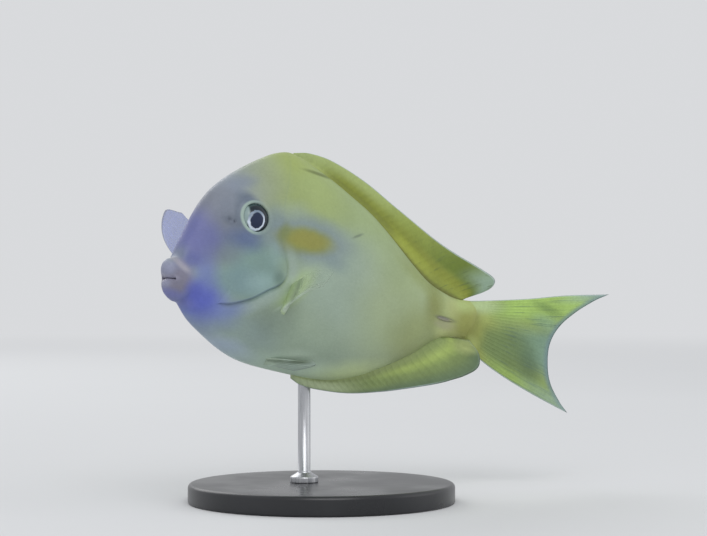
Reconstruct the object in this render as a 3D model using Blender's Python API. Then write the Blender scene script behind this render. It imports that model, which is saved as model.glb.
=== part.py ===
"""A young orangeshoulder tang, modelled life-size as a museum piece, swimming nose-up
with its tail swung to its left, held by a short rod over a round base.

The fish is described in millimetres in its own frame: s runs back from the snout, y is
lateral (minus is the fish's left side) and z is height above the mouth. place() bends the
tail, tips the nose up and stands the fish over the base, in metres, with the head at -X."""

import math

import bmesh
import bpy
from mathutils import Matrix, Vector

MM = 0.001
GAP = 0.3

# Pose of the fish over the base
NOSE_UP = math.radians(12)
SNOUT_X = -47.6
SNOUT_Z = 57.0
TAIL_SWING = math.radians(16)
SWING_FROM = 82.0
SWING_TO = 94.0

# Profiles along the body as (s, value)
BACK = [(0.9, 5.6), (1.5, 8.8), (2.7, 12.6), (4.1, 16.8), (5.8, 20.6), (8.2, 24.3), (12, 28.2),
        (16.5, 31.8), (21.5, 35.2), (26, 37.7), (30, 38.6), (38, 36.7), (44, 34.9), (50, 32.7),
        (57, 30), (63, 26.9), (69, 23.3), (75, 19.7), (81, 16.6), (87, 14.8), (92, 13.9), (98, 14.2)]
BREAST = [(0.9, -4.6), (4.0, -5.0), (8.3, -8.6), (13.7, -11.5), (19, -13.8), (24, -15.2),
          (30, -15.8), (42, -15.9), (48, -15.8), (55, -14.9), (63, -12.4), (71, -8.6), (79, -4.2),
          (84.5, -0.2), (89, 2.6), (93, 3.2), (98, 3.0)]
HALF_WIDTH = [(0.9, 3.3), (3, 3.6), (5, 4.4), (8, 5.6), (13, 7.1), (18, 8.1), (25, 9.1), (34, 9.7),
              (44, 9.5), (55, 8.7), (66, 7.3), (76, 5.6), (84, 4.2), (90, 3.2), (98, 2.2)]
WIDEST_AT = [(0.9, 0.2), (4, 1.5), (8, 4.6), (14, 8.0), (20, 9.6), (32, 10), (60, 9.4), (98, 8.9)]
FLANK_SHAPE = 0.92
BODY_END = 96.0
STALK_FROM = 79.5

# Mouth
MOUTH_Z = 0.2
LIP_BACK = 2.6
LIP_WRAP = 2.2
LIP_LEAN = 0.25
WRAP_GONE_AT = 16.0
LIP_RINGS = [(1.3, 2.5, 0.12, 1.2), (-0.4, 2.7, 0.3, 1.3), (-1.2, 2.9, 1.2, 1.5), (-1.4, 3.2, 2.4, 1.8),
             (-0.9, 3.6, 3.7, 2.1), (0.1, 3.9, 4.6, 2.5), (1.2, 4.1, 5.1, 2.8)]

# How far a ring round the body leans, its top ahead of its foot, as (s, half the lean)
LEAN = [(2.6, 1.6), (5, 2.6), (8, 3.5), (12, 4.1), (18, 3.8), (26, 2.2), (34, 0.6), (42, 0), (98, 0)]

# Gill opening, seen from the side, from the nape to the throat
GILL_LINE = [(28.5, 42), (26.8, 34), (25.2, 26), (24.5, 19), (24.8, 15), (26.6, 11), (27.7, 7.4),
             (26.7, 4.6), (23.4, 2.3), (19.6, -0.5), (15.2, -2.6), (12.0, -3.4), (9.4, -5.2),
             (8.0, -8.4), (7.6, -13)]
GILL_COVER_RAISE = 0.55
GILL_COVER_EDGE = 4.0
GILL_COVER_TOP = 20.0

# Eye
EYE_S = 17.5
EYE_Z = 19.0
EYE_RADIUS = 3.95
EYE_DEPTH = 2.3
EYE_SINK = 1.0
NOSTRILS = [(10.9, 17.2, 0.4), (12.2, 16.9, 0.3)]

# Dorsal and anal fin: (share along the fin's base, s, z) of the free edge
DORSAL_BASE = (30.4, 93.6)
DORSAL_EDGE = [(0, 31.2, 39.0), (0.06, 36, 40.1), (0.15, 43.5, 40.0), (0.3, 55.5, 37.4),
               (0.45, 67.5, 33.2), (0.6, 79, 29.4), (0.75, 91, 26.0), (0.87, 100.8, 23.2),
               (0.93, 104.2, 21.4), (0.97, 102.8, 18.6), (1, 97.6, 15.9)]
DORSAL_RAYS = 33
ANAL_BASE = (41.6, 89.0)
ANAL_EDGE = [(0, 41.9, -16.8), (0.05, 45, -17.8), (0.12, 50, -18.1), (0.3, 61, -17.3),
             (0.5, 72.5, -14.9), (0.65, 79.9, -12.8), (0.78, 88.4, -10.1),
             (0.86, 92.9, -8.3), (0.92, 97.4, -6.0), (0.96, 100.6, -3.1), (0.98, 100.2, 0.2),
             (1, 96.6, 2.8)]
ANAL_RAYS = 25
DORSAL_LAG = 2.2
ANAL_LAG = -3.0
FIN_LAG_FROM = 70.0

# Tail fin: (share from upper to lower edge, s, z) of the fork
TAIL_FORK = [(0, 138.8, 24.2), (0.07, 134.5, 21.6), (0.2, 129, 17.2), (0.35, 124.6, 12.2),
             (0.5, 122.6, 7), (0.65, 123, 1.2), (0.8, 124.8, -3.6), (0.92, 128.4, -7.9),
             (1, 131.2, -10.3)]
TAIL_BEND = [(0, 106, 16.0), (0.5, 108, 8), (1, 103, -3.5)]
TAIL_RAYS = 18

# Paired fins. Each has root ends on the flank as (s, z), and tips as (share across the fin,
# back, out, up) from the root. A pelvic fin lies back along the belly instead, and its tips
# are (share, s, z, how far off the skin).
PECTORAL_ROOT = ((31.2, 4.8), (29.4, -3.2))
PECTORAL_TIPS = {
    "left": [(0, -8.0, 21.5, 2.6), (0.25, -6.0, 22.0, 4.6), (0.6, -1.5, 17.5, 7.4), (1, 2.2, 11.6, 8.0)],
    "right": [(0, -9.4, 21.0, 17.2), (0.3, -13.4, 22.4, 19.0), (0.65, -12.4, 21.0, 13.8),
              (1, -5.0, 13.0, 6.5)],
}
PECTORAL_BOW = 0.5
PECTORAL_RAYS = 13
PELVIC_ROOT = ((30.2, -13.5), (30.9, -15.1))
PELVIC_TIPS = [(0, 42.4, -12.1, 1.6), (0.3, 43.2, -13.0, 1.8), (1, 39.6, -15.2, 0.9)]
PELVIC_RAYS = 6

# The folded blade on each side of the tail stalk
BLADE_FROM = 84.3
BLADE_TO = 90.8
BLADE_Z = 7.3
BLADE_HALF_HEIGHT = 0.75
BLADE_OUT = 0.9

# Fin thickness, as half the thickness
ROOT_HALF = 0.7
EDGE_HALF = 0.26
PELVIC_HALF = 0.42
RAY_RAISE = 0.16

# Stand
BASE_RADIUS = 34.0
BASE_THICK = 5.0
BASE_BEVEL = 1.2
ROD_RADIUS = 1.6
ROD_S = 49.0
ROD_Y = 3.4
ROD_TOP = 46.0
FERRULE_RADIUS = 3.6
FERRULE_HEIGHT = 3.0

SIDES = {"left": -1, "right": 1}


def along(points, x, column=1):
    """Smooth curve through points whose first number rises, read at x."""
    if x <= points[0][0]:
        return points[0][column]
    if x >= points[-1][0]:
        return points[-1][column]
    i = next(k for k in range(1, len(points)) if points[k][0] >= x)

    def slope(k):
        low, high = max(k - 1, 0), min(k + 1, len(points) - 1)
        return (points[high][column] - points[low][column]) / (points[high][0] - points[low][0])

    x0, x1 = points[i - 1][0], points[i][0]
    t = (x - x0) / (x1 - x0)
    a, b = points[i - 1][column], points[i][column]
    rise = (slope(i - 1) * (x1 - x0), slope(i) * (x1 - x0))
    return ((2 * t**3 - 3 * t**2 + 1) * a + (t**3 - 2 * t**2 + t) * rise[0]
            + (3 * t**2 - 2 * t**3) * b + (t**3 - t**2) * rise[1])


def eased(t):
    """Goes smoothly from 0 to 1 as t does."""
    t = min(max(t, 0.0), 1.0)
    return t * t * (3 - 2 * t)


def place(point):
    """A point of the fish's own frame, bent, tipped and set over the base, in metres."""
    s, y, z = point
    radius = (SWING_TO - SWING_FROM) / TAIL_SWING
    angle = min(max(s - SWING_FROM, 0) / radius, TAIL_SWING)
    beyond = max(s - SWING_TO, 0)
    back = min(s, SWING_FROM) + radius * math.sin(angle) + beyond * math.cos(angle) + y * math.sin(angle)
    side = -radius * (1 - math.cos(angle)) - beyond * math.sin(angle) + y * math.cos(angle)
    x = SNOUT_X + back * math.cos(NOSE_UP) + z * math.sin(NOSE_UP)
    height = SNOUT_Z - back * math.sin(NOSE_UP) + z * math.cos(NOSE_UP)
    return Vector((x, side, height)) * MM


def material(name, colour, roughness):
    made = bpy.data.materials.new(name)
    made.use_nodes = True
    shader = made.node_tree.nodes["Principled BSDF"]
    shader.inputs["Base Color"].default_value = (*colour, 1)
    shader.inputs["Roughness"].default_value = roughness
    return made


def new_object(name, points, faces, finish=None):
    """An object of points already in metres. Without a finish it is a cutter."""
    mesh = bpy.data.meshes.new(name)
    mesh.from_pydata([tuple(p) for p in points], [], faces)
    mesh.validate()
    obj = bpy.data.objects.new(name, mesh)
    bpy.context.scene.collection.objects.link(obj)
    if finish:
        mesh.materials.append(finish)
        mesh.shade_smooth()
        mesh.set_sharp_from_angle(angle=math.radians(40))
    else:
        obj.hide_render = True
        obj.display_type = "WIRE"
    return obj


def lofted(name, rings, finish=None):
    """A closed skin over rings of points that are alike left and right. Point 0 is the top,
    the count is even, and each end is closed by faces across the ring."""
    count = len(rings[0])
    points = [place(p) for ring in rings for p in ring]
    faces = []
    for r in range(len(rings) - 1):
        for k in range(count):
            a, b = r * count + k, r * count + (k + 1) % count
            faces.append((a, b, b + count, a + count))
    for start, front in ((0, True), ((len(rings) - 1) * count, False)):
        for k in range(count // 2):
            corners = [k, k + 1, count - k - 1, (count - k) % count]
            corners = [start + c for c in dict.fromkeys(corners)]
            faces.append(tuple(corners[::-1] if front else corners))
    return new_object(name, points, faces, finish)


def turn(k, count):
    """Angle of ring point k, from the top down the left side."""
    return math.pi / 2 + 2 * math.pi * k / count


def gill_points(shift=0.0):
    """The gill opening's line as close points, moved back by shift across its own run."""
    steps = 48
    numbered = [(k, *p) for k, p in enumerate(GILL_LINE)]
    last = len(GILL_LINE) - 1
    line = [Vector((along(numbered, last * k / steps, 1), along(numbered, last * k / steps, 2)))
            for k in range(steps + 1)]
    moved = []
    for k, point in enumerate(line):
        run = line[min(k + 1, steps)] - line[max(k - 1, 0)]
        moved.append(point + Vector((-run.y, run.x)).normalized() * shift)
    return moved


def gill_cover_raise(s, z):
    """How far the gill cover's edge stands proud of the flank behind it."""
    if z > GILL_COVER_TOP:
        return 0.0
    near = min((Vector((s, z)) - p).length for p in gill_points()[12:])
    fade = eased((GILL_COVER_TOP - z) / 5)
    return GILL_COVER_RAISE * fade * math.exp(-((near / GILL_COVER_EDGE) ** 2))


def flank(s, z, grow=0.0):
    """Half the body's width at a point of its side view."""
    level = along(WIDEST_AT, s)
    reach = (along(BACK, s) - level) if z > level else (level - along(BREAST, s))
    share = min(abs(z - level) / (reach + grow), 1.0)
    return (along(HALF_WIDTH, s) + grow) * math.sqrt(1 - share * share) ** FLANK_SHAPE


def body_ring(station, count, grow=0.0, cover=False):
    """One ring round the body, from the back through the left side to the belly and up the
    right. Seen from the side it leans with the head, and wraps back behind the lips."""
    lean = along(LEAN, station)
    wrap = LIP_WRAP * (1 - eased((station - LIP_BACK) / (WRAP_GONE_AT - LIP_BACK)))
    top = Vector((station - lean, along(BACK, station - lean) + grow))
    foot = Vector((station + lean, along(BREAST, station + lean) - grow))
    ring = []
    for k in range(count):
        angle = turn(k, count)
        share = (1 + math.sin(angle)) / 2
        s, z = foot.lerp(top, share)
        s += wrap * 4 * share * (1 - share)
        half = flank(s, z, grow) if k % (count // 2) else 0.0
        if cover and half:
            half += gill_cover_raise(s, z) * abs(math.cos(angle))
        ring.append((s, math.copysign(half, math.cos(angle)), z))
    return ring


def body_form(name, first, last, steps, count, grow=0.0, ease=1.0, cover=False, finish=None):
    """The body between two stations. An ease above 1 packs the rings towards the first."""
    stations = [first + (last - first) * (k / steps) ** ease for k in range(steps + 1)]
    return lofted(name, [body_ring(s, count, grow, cover) for s in stations], finish)


def side_cutter(name, outline, half=30.0):
    """A slab across the fish whose side view is the outline of (s, z) points."""
    count = len(outline)
    points = [place((s, y, z)) for y in (-half, half) for s, z in outline]
    faces = [tuple(range(count))[::-1], tuple(range(count, 2 * count))]
    faces += [(k, (k + 1) % count, count + (k + 1) % count, count + k) for k in range(count)]
    cutter = new_object(name, points, faces)
    shape = bmesh.new()
    shape.from_mesh(cutter.data)
    bmesh.ops.triangulate(shape, faces=shape.faces[:2])
    bmesh.ops.recalc_face_normals(shape, faces=shape.faces[:])
    shape.to_mesh(cutter.data)
    shape.free()
    return cutter


def cut(target, *cutters):
    for cutter in cutters:
        modifier = target.modifiers.new("cut " + cutter.name, "BOOLEAN")
        modifier.operation = "DIFFERENCE"
        modifier.solver = "EXACT"
        modifier.object = cutter


def outward(s, side):
    """The way out of the flank at the eye, for one side."""
    step = 0.5
    forward = (flank(s + step, EYE_Z) - flank(s - step, EYE_Z)) / (2 * step)
    upward = (flank(s, EYE_Z + step) - flank(s, EYE_Z - step)) / (2 * step)
    return Vector((-forward, side, -upward)).normalized()


def eyeball(name, side, grow=0.0, finish=None):
    """A flattened ball in the side of the head, its axis square to the skin."""
    axis = outward(EYE_S, side)
    centre = Vector((EYE_S, side * flank(EYE_S, EYE_Z), EYE_Z)) - axis * EYE_SINK
    ball = bmesh.new()
    bmesh.ops.create_uvsphere(ball, u_segments=24, v_segments=12, radius=1.0)
    size = Matrix.Diagonal((EYE_RADIUS + grow, EYE_RADIUS + grow, EYE_DEPTH + grow, 1))
    facing = axis.to_track_quat("Z", "Y").to_matrix().to_4x4()
    bmesh.ops.transform(ball, matrix=Matrix.Translation(centre) @ facing @ size, verts=ball.verts)
    points = [place(v.co) for v in ball.verts]
    faces = [[v.index for v in f.verts] for f in ball.faces]
    ball.free()
    return new_object(name, points, faces, finish)


def nostril(name, s, z, radius, side):
    """A short pit in front of the eye."""
    pit = bmesh.new()
    bmesh.ops.create_icosphere(pit, subdivisions=1, radius=radius * 1.6)
    bmesh.ops.translate(pit, vec=(s, side * flank(s, z), z), verts=pit.verts)
    points = [place(v.co) for v in pit.verts]
    faces = [[v.index for v in f.verts] for f in pit.faces]
    pit.free()
    return new_object(name, points, faces)


def lips(finish):
    """Both lips as one ring of flesh round the mouth's slit."""
    count = 32
    rings = []
    for depth, wide, high, corner in LIP_RINGS:
        ring = []
        for k in range(count):
            angle = turn(k, count)
            up, out = math.sin(angle), math.cos(angle)
            ring.append((depth - LIP_LEAN * high * up + corner * out * out, wide * out, MOUTH_Z + high * up))
        rings.append(ring)
    rings.append([(s - GAP, y, z) for s, y, z in body_ring(LIP_BACK, count)])
    return lofted("lips", rings, finish)


def fin_shell(name, surface, half_thickness, columns, rows, finish, snap=None):
    """A closed fin. surface(u, v) is its middle, u across the rays and v from root to edge."""
    step = 0.004
    front, back = [], []
    for i in range(columns + 1):
        for j in range(rows + 1):
            u, v = i / columns, j / rows
            across = surface(min(u + step, 1), v) - surface(max(u - step, 0), v)
            out = surface(u, min(v + step, 1)) - surface(u, max(v - step, 0))
            side = across.cross(out).normalized() * half_thickness(u, v, i)
            for face, sign in ((front, 1), (back, -1)):
                point = surface(u, v) + side * sign
                face.append(snap(point) if snap and j == 0 else point)
    count = len(front)
    points = [place(p) for p in front + back]
    faces = []

    def at(i, j):
        return i * (rows + 1) + j

    for i in range(columns):
        for j in range(rows):
            a, b, c, d = at(i, j), at(i + 1, j), at(i + 1, j + 1), at(i, j + 1)
            faces += [(a, b, c), (a, c, d), (count + c, count + b, count + a),
                      (count + d, count + c, count + a)]
    rim = [at(i, 0) for i in range(columns)] + [at(columns, j) for j in range(rows)]
    rim += [at(i, rows) for i in range(columns, 0, -1)] + [at(0, j) for j in range(rows, 0, -1)]
    for a, b in zip(rim, rim[1:] + rim[:1]):
        faces.append((b, a, count + a, count + b))
    fin = new_object(name, points, faces, finish)
    shape = bmesh.new()
    shape.from_mesh(fin.data)
    bmesh.ops.recalc_face_normals(shape, faces=shape.faces[:])
    shape.to_mesh(fin.data)
    shape.free()
    return fin


def rayed(root, edge=EDGE_HALF, sweep=0.35):
    """Half thickness that thins from the root and stands up on every second column, a ray."""
    def half(u, v, column):
        base = edge + (root - edge) * (1 - eased(v / sweep))
        return base + (RAY_RAISE * (1 - v) ** 0.5 if column % 2 else 0)
    return half


def long_fin(name, base, edge, lag, profile, gap, rays, rows, finish):
    """The dorsal or anal fin, standing on the body's own profile."""
    def surface(u, v):
        s = base[0] + (base[1] - base[0]) * u
        foot = Vector((s, 0, along(profile, s) + gap))
        tip = Vector((along(edge, u, 1), 0, along(edge, u, 2)))
        point = foot.lerp(tip, v)
        trail = eased((point.x - FIN_LAG_FROM) / (edge[-3][1] - FIN_LAG_FROM))
        point.y = lag * trail * v
        return point
    return fin_shell(name, surface, rayed(ROOT_HALF), 2 * rays, rows, finish)


def tail_lobe(name, lower, finish):
    """The upper or lower lobe of the forked tail fin, a gap apart along its middle. Each ray
    is a bent line from the stalk's end to the fork."""
    top, foot = along(BACK, BODY_END), along(BREAST, BODY_END)

    def across(share, v):
        height = (top - foot) * (1 - v) + (TAIL_FORK[0][2] - TAIL_FORK[-1][2]) * v
        return (0.5 - GAP / 2 / height) * share if not lower else 1 - (0.5 - GAP / 2 / height) * (1 - share)

    def surface(share, v):
        u = across(share, v)
        root = Vector((BODY_END + GAP, 0, top + (foot - top) * u))
        bend = Vector((along(TAIL_BEND, u, 1), 0, along(TAIL_BEND, u, 2)))
        tip = Vector((along(TAIL_FORK, u, 1), 0, along(TAIL_FORK, u, 2)))
        return root * (1 - v) ** 2 + bend * 2 * v * (1 - v) + tip * v * v

    stalk = along(HALF_WIDTH, BODY_END)
    thin = rayed(0.4)

    def half(share, v, column):
        u = across(share, v)
        meet = stalk * math.sqrt(max(1 - (2 * u - 1) ** 2, 0.02))
        return thin(u, v, column) + max(meet - 0.4, 0) * (1 - eased(v / 0.3))
    return fin_shell(name, surface, half, TAIL_RAYS, 9, finish)


def pectoral_fin(name, side, tips, finish):
    """A fan of bent rays from a short root behind the gill cover."""
    (s0, z0), (s1, z1) = PECTORAL_ROOT

    def surface(u, v):
        s, z = s0 + (s1 - s0) * u, z0 + (z1 - z0) * u
        root = Vector((s, side * (flank(s, z) + GAP), z))
        reach = Vector([along(tips, u, column) for column in (1, 2, 3)])
        reach.y *= side
        bow = Vector((PECTORAL_BOW, 0, -PECTORAL_BOW)) * (4 * v * (1 - v))
        return root + reach * v + bow

    def snap(point):
        return Vector((point.x, side * (flank(point.x, point.z) + GAP), point.z))
    return fin_shell(name, surface, rayed(0.9), 2 * PECTORAL_RAYS, 7, finish, snap)


def pelvic_fin(name, side, finish):
    """A small fin folded back along the belly, its outer edge a little off the skin."""
    (s0, z0), (s1, z1) = PELVIC_ROOT

    def surface(u, v):
        root = Vector((s0 + (s1 - s0) * u, z0 + (z1 - z0) * u))
        tip = Vector((along(PELVIC_TIPS, u, 1), along(PELVIC_TIPS, u, 2)))
        s, z = root.lerp(tip, v)
        skin = flank(s, z, grow=GAP + PELVIC_HALF + RAY_RAISE)
        return Vector((s, side * (skin + along(PELVIC_TIPS, u, 3) * v * v), z))
    return fin_shell(name, surface, rayed(PELVIC_HALF), 2 * PELVIC_RAYS, 7, finish)


def blade(name, side, finish):
    """The folded blade on the tail stalk, its point forward, lying on the skin."""
    stations, half_ring = 9, 5
    rings = []
    for r in range(stations + 1):
        t = r / stations
        s = BLADE_FROM + (BLADE_TO - BLADE_FROM) * t
        thick = max(math.sin(math.pi * t ** 0.7) ** 0.6, 0.12) if 0 < t < 1 else 0.12
        high, out = BLADE_HALF_HEIGHT * thick, BLADE_OUT * thick
        upper = [math.pi * k / half_ring for k in range(half_ring + 1)]
        ring = [(high * math.cos(a), out * math.sin(a)) for a in upper]
        ring += [(-high / 3, 0), (high / 3, 0)]
        rings.append([(s, side * (flank(s, BLADE_Z + dz) + GAP + dy), BLADE_Z + dz)
                      for dz, dy in ring])
    count = len(rings[0])
    points = [place(p) for ring in rings for p in ring]
    faces = [tuple(range(count)), tuple(range(stations * count, (stations + 1) * count))]
    for r in range(stations):
        for k in range(count):
            a, b = r * count + k, r * count + (k + 1) % count
            faces.append((a, b, b + count, a + count))
    made = new_object(name, points, faces, finish)
    shape = bmesh.new()
    shape.from_mesh(made.data)
    bmesh.ops.recalc_face_normals(shape, faces=shape.faces[:])
    shape.to_mesh(made.data)
    shape.free()
    return made


def spun(name, profile, centre, finish, steps=32):
    """A closed solid turned about an upright axis from (radius, height) points."""
    shape = bmesh.new()
    verts = [shape.verts.new(Vector((r, 0, z)) * MM) for r, z in profile]
    edges = [shape.edges.new(pair) for pair in zip(verts, verts[1:])]
    bmesh.ops.spin(shape, geom=verts + edges, cent=(0, 0, 0), axis=(0, 0, 1),
                   angle=2 * math.pi, steps=steps, use_merge=True)
    bmesh.ops.remove_doubles(shape, verts=shape.verts, dist=1e-7)
    bmesh.ops.recalc_face_normals(shape, faces=shape.faces[:])
    bmesh.ops.translate(shape, vec=Vector(centre) * MM, verts=shape.verts)
    mesh = bpy.data.meshes.new(name)
    shape.to_mesh(mesh)
    shape.free()
    mesh.materials.append(finish)
    mesh.shade_smooth()
    mesh.set_sharp_from_angle(angle=math.radians(35))
    obj = bpy.data.objects.new(name, mesh)
    bpy.context.scene.collection.objects.link(obj)
    return obj


def stand(base_finish, rod_finish, body):
    """A round base and one rod, which meets the belly beside the anal fin."""
    b = BASE_BEVEL
    spun("stand_base", [(0, 0), (BASE_RADIUS - b / 2, 0), (BASE_RADIUS, b / 2),
                        (BASE_RADIUS, BASE_THICK - b), (BASE_RADIUS - b * 0.3, BASE_THICK - b * 0.3),
                        (BASE_RADIUS - b, BASE_THICK), (0, BASE_THICK)], (0, 0, 0), base_finish, 48)
    foot = BASE_THICK + GAP
    x = place((ROD_S, 0, along(BREAST, ROD_S))).x / MM
    rod = spun("stand_rod", [(0, foot), (FERRULE_RADIUS, foot), (FERRULE_RADIUS, foot + FERRULE_HEIGHT * 0.5),
                             (FERRULE_RADIUS - 1, foot + FERRULE_HEIGHT), (ROD_RADIUS, foot + FERRULE_HEIGHT),
                             (ROD_RADIUS, ROD_TOP), (0, ROD_TOP)], (x, ROD_Y, 0), rod_finish, 20)
    cut(rod, body)


def build():
    for obj in list(bpy.data.objects):
        bpy.data.objects.remove(obj)
    skin = material("skin", (0.42, 0.47, 0.26), 0.45)
    face = material("face", (0.36, 0.36, 0.42), 0.45)
    lip = material("lip", (0.50, 0.40, 0.40), 0.5)
    fin = material("fin", (0.42, 0.46, 0.12), 0.5)
    clear_fin = material("clear_fin", (0.50, 0.56, 0.62), 0.4)
    eye = material("eye", (0.05, 0.06, 0.09), 0.1)
    bone = material("bone", (0.62, 0.62, 0.56), 0.4)
    black = material("base_black", (0.03, 0.03, 0.035), 0.35)
    steel = material("rod_steel", (0.5, 0.5, 0.52), 0.3)

    behind = [tuple(p) for p in gill_points()] + [(60, -30), (60, 60)]
    ahead = [tuple(p) for p in gill_points(GAP)] + [(-20, -30), (-20, 60)]
    body = body_form("grown_body", LIP_BACK, BODY_END, 56, 40, grow=GAP, ease=1.2)

    lips(lip)
    head = body_form("head", LIP_BACK, 36, 26, 40, ease=1.5, cover=True, finish=face)
    cut(head, side_cutter("behind_gills", behind))
    trunk = body_form("trunk", LIP_BACK + 2, STALK_FROM, 30, 40, finish=skin)
    cut(trunk, side_cutter("ahead_of_gills", ahead))
    body_form("tail_stalk", STALK_FROM + GAP, BODY_END, 9, 32, finish=skin)
    for side, sign in SIDES.items():
        eyeball(f"eye_{side}", sign, finish=eye)
        cut(head, eyeball(f"socket_{side}", sign, grow=GAP))
        for n, (s, z, radius) in enumerate(NOSTRILS):
            cut(head, nostril(f"nostril_{side}_{n}", s, z, radius, sign))
        blade(f"tail_blade_{side}", sign, bone)
        pectoral_fin(f"pectoral_fin_{side}", sign, PECTORAL_TIPS[side], clear_fin)
        pelvic_fin(f"pelvic_fin_{side}", sign, clear_fin)

    long_fin("dorsal_fin", DORSAL_BASE, DORSAL_EDGE, DORSAL_LAG, BACK, GAP, DORSAL_RAYS, 5, fin)
    long_fin("anal_fin", ANAL_BASE, ANAL_EDGE, ANAL_LAG, BREAST, -GAP, ANAL_RAYS, 5, fin)
    tail_lobe("tail_fin_upper", False, fin)
    tail_lobe("tail_fin_lower", True, fin)
    stand(black, steel, body)


build()
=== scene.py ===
"""The looks of a young orangeshoulder tang, life-size, on its plain display stand.

The fish is described in millimetres in its own frame: s runs back from the snout, y is
lateral (minus is the fish's left side) and z is height above the mouth. place() bends the
tail, tips the nose up and stands the fish over the base, in metres, with the head at -X.
Every piece of the fish keeps that frame in the attribute in_fish, and up to three numbers of
its own in the attribute on_piece. Its markings read both. Grids are (columns, rows) of a
sheet, and (rays, rows) of a fin."""

import math

import bmesh
import bpy
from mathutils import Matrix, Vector


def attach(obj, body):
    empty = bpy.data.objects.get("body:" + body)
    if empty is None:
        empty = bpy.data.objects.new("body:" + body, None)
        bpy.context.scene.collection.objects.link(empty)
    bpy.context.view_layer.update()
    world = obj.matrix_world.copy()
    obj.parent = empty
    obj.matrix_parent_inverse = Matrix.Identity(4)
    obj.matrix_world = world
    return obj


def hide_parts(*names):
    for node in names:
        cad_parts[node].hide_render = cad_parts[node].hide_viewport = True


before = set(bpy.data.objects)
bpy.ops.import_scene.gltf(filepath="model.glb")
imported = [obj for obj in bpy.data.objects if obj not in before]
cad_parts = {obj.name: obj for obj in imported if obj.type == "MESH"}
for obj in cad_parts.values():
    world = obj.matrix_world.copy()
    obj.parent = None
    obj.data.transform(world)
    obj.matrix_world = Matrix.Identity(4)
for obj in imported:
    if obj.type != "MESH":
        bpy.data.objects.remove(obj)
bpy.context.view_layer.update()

MM = 0.001
WELD = 2e-7

# Pose of the fish over the base
NOSE_UP = math.radians(12)
SNOUT_X = -47.6
SNOUT_Z = 57.0
TAIL_SWING = math.radians(16)
SWING_FROM = 82.0
SWING_TO = 94.0

# Profiles along the body as (s, value)
BACK = [(0.9, 5.6), (1.5, 8.8), (2.7, 12.6), (4.1, 16.8), (5.8, 20.6), (8.2, 24.3), (12, 28.2),
        (16.5, 31.8), (21.5, 35.2), (26, 37.7), (30, 38.6), (38, 36.7), (44, 34.9), (50, 32.7),
        (57, 30), (63, 26.9), (69, 23.3), (75, 19.7), (81, 16.6), (87, 14.8), (92, 13.9), (98, 14.2)]
BREAST = [(0.9, -4.6), (4.0, -5.0), (8.3, -8.6), (13.7, -11.5), (19, -13.8), (24, -15.2),
          (30, -15.8), (42, -15.9), (48, -15.8), (55, -14.9), (63, -12.4), (71, -8.6), (79, -4.2),
          (84.5, -0.2), (89, 2.6), (93, 3.2), (98, 3.0)]
HALF_WIDTH = [(0.9, 3.3), (3, 3.6), (5, 4.4), (8, 5.6), (13, 7.1), (18, 8.1), (25, 9.1), (34, 9.7),
              (44, 9.5), (55, 8.7), (66, 7.3), (76, 5.6), (84, 4.2), (90, 3.2), (98, 2.2)]
WIDEST_AT = [(0.9, 0.2), (4, 1.5), (8, 4.6), (14, 8.0), (20, 9.6), (32, 10), (60, 9.4), (98, 8.9)]
LEAN = [(2.6, 1.6), (5, 2.6), (8, 3.5), (12, 4.1), (18, 3.8), (26, 2.2), (34, 0.6), (42, 0), (98, 0)]
FLANK_SHAPE = 0.92
HEAD_END = 30.0
BODY_END = 96.0
SHEATH_LENGTH = 6.5

# Mouth, as rings of (depth, half width, half height, how far the corners lie back)
MOUTH_Z = 0.2
LIP_BACK = 2.6
LIP_WRAP = 2.2
LIP_LEAN = 0.25
WRAP_GONE_AT = 16.0
LIP_RINGS = [(0.3, 2.5, 0.072, 1.2), (-0.4, 2.7, 0.18, 1.3), (-1.2, 2.9, 1.2, 1.5),
             (-1.4, 3.2, 2.4, 1.8), (-0.9, 3.6, 3.7, 2.1), (0.1, 3.9, 4.6, 2.5), (1.2, 4.1, 5.1, 2.8)]
RING_STEP = 1.3
HEAD_FROM = LIP_BACK + RING_STEP

# Where lips, head and trunk end as shares of the skin's sheet
LIP_SHARE = 0.17
HEAD_SHARE = 0.62
SHEATH_SHARE = 0.955
SKIN_GRID = (216, 270)

GILL_LINE = [(28.5, 42), (26.8, 34), (25.2, 26), (24.5, 19), (24.8, 15), (26.6, 11), (27.7, 7.4),
             (26.7, 4.6), (23.4, 2.3), (19.6, -0.5), (15.2, -2.6), (12.0, -3.4), (9.4, -5.2),
             (8.0, -8.4), (7.6, -13)]
GILL_PIECES = 140
GILL_STRIDE = 4
GILL_FAR = 14.0
GILL_FAR_SQUARED = 200.0
GILL_COVER_RAISE = 0.5
COVER_HUB = Vector((15.5, 9.0))
COVER_FROM = 0.3
COVER_TO = 0.83
COVER_TOP = 0.62
COVER_ROLLED = 0.74
COVER_GRID = (200, 44)

EYE_S = 17.5
EYE_Z = 19.0
EYE_RADIUS = 3.95
EYE_DEPTH = 2.3
EYE_SINK = 1.0
EYE_NARROW = 0.93
SOCKET_DEPTH = 2.3
RIM_PROFILE = [(6.2, -0.06), (5.6, 0.06), (5.0, 0.18), (4.5, 0.3), (4.15, 0.4), (3.85, 0.42),
               (3.6, 0.32), (3.48, 0.08), (3.5, -0.4), (3.7, -1.2), (4.8, -1.4), (6.2, -0.06)]
RIM_GRID = (128, 44)
PUPIL_AT = (-0.62, -0.68, 0)
PUPIL_SHAPE = (1.12, 0.93, 0)
NOSTRILS = [(10.9, 17.2, 0.4), (12.2, 16.9, 0.3)]

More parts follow.
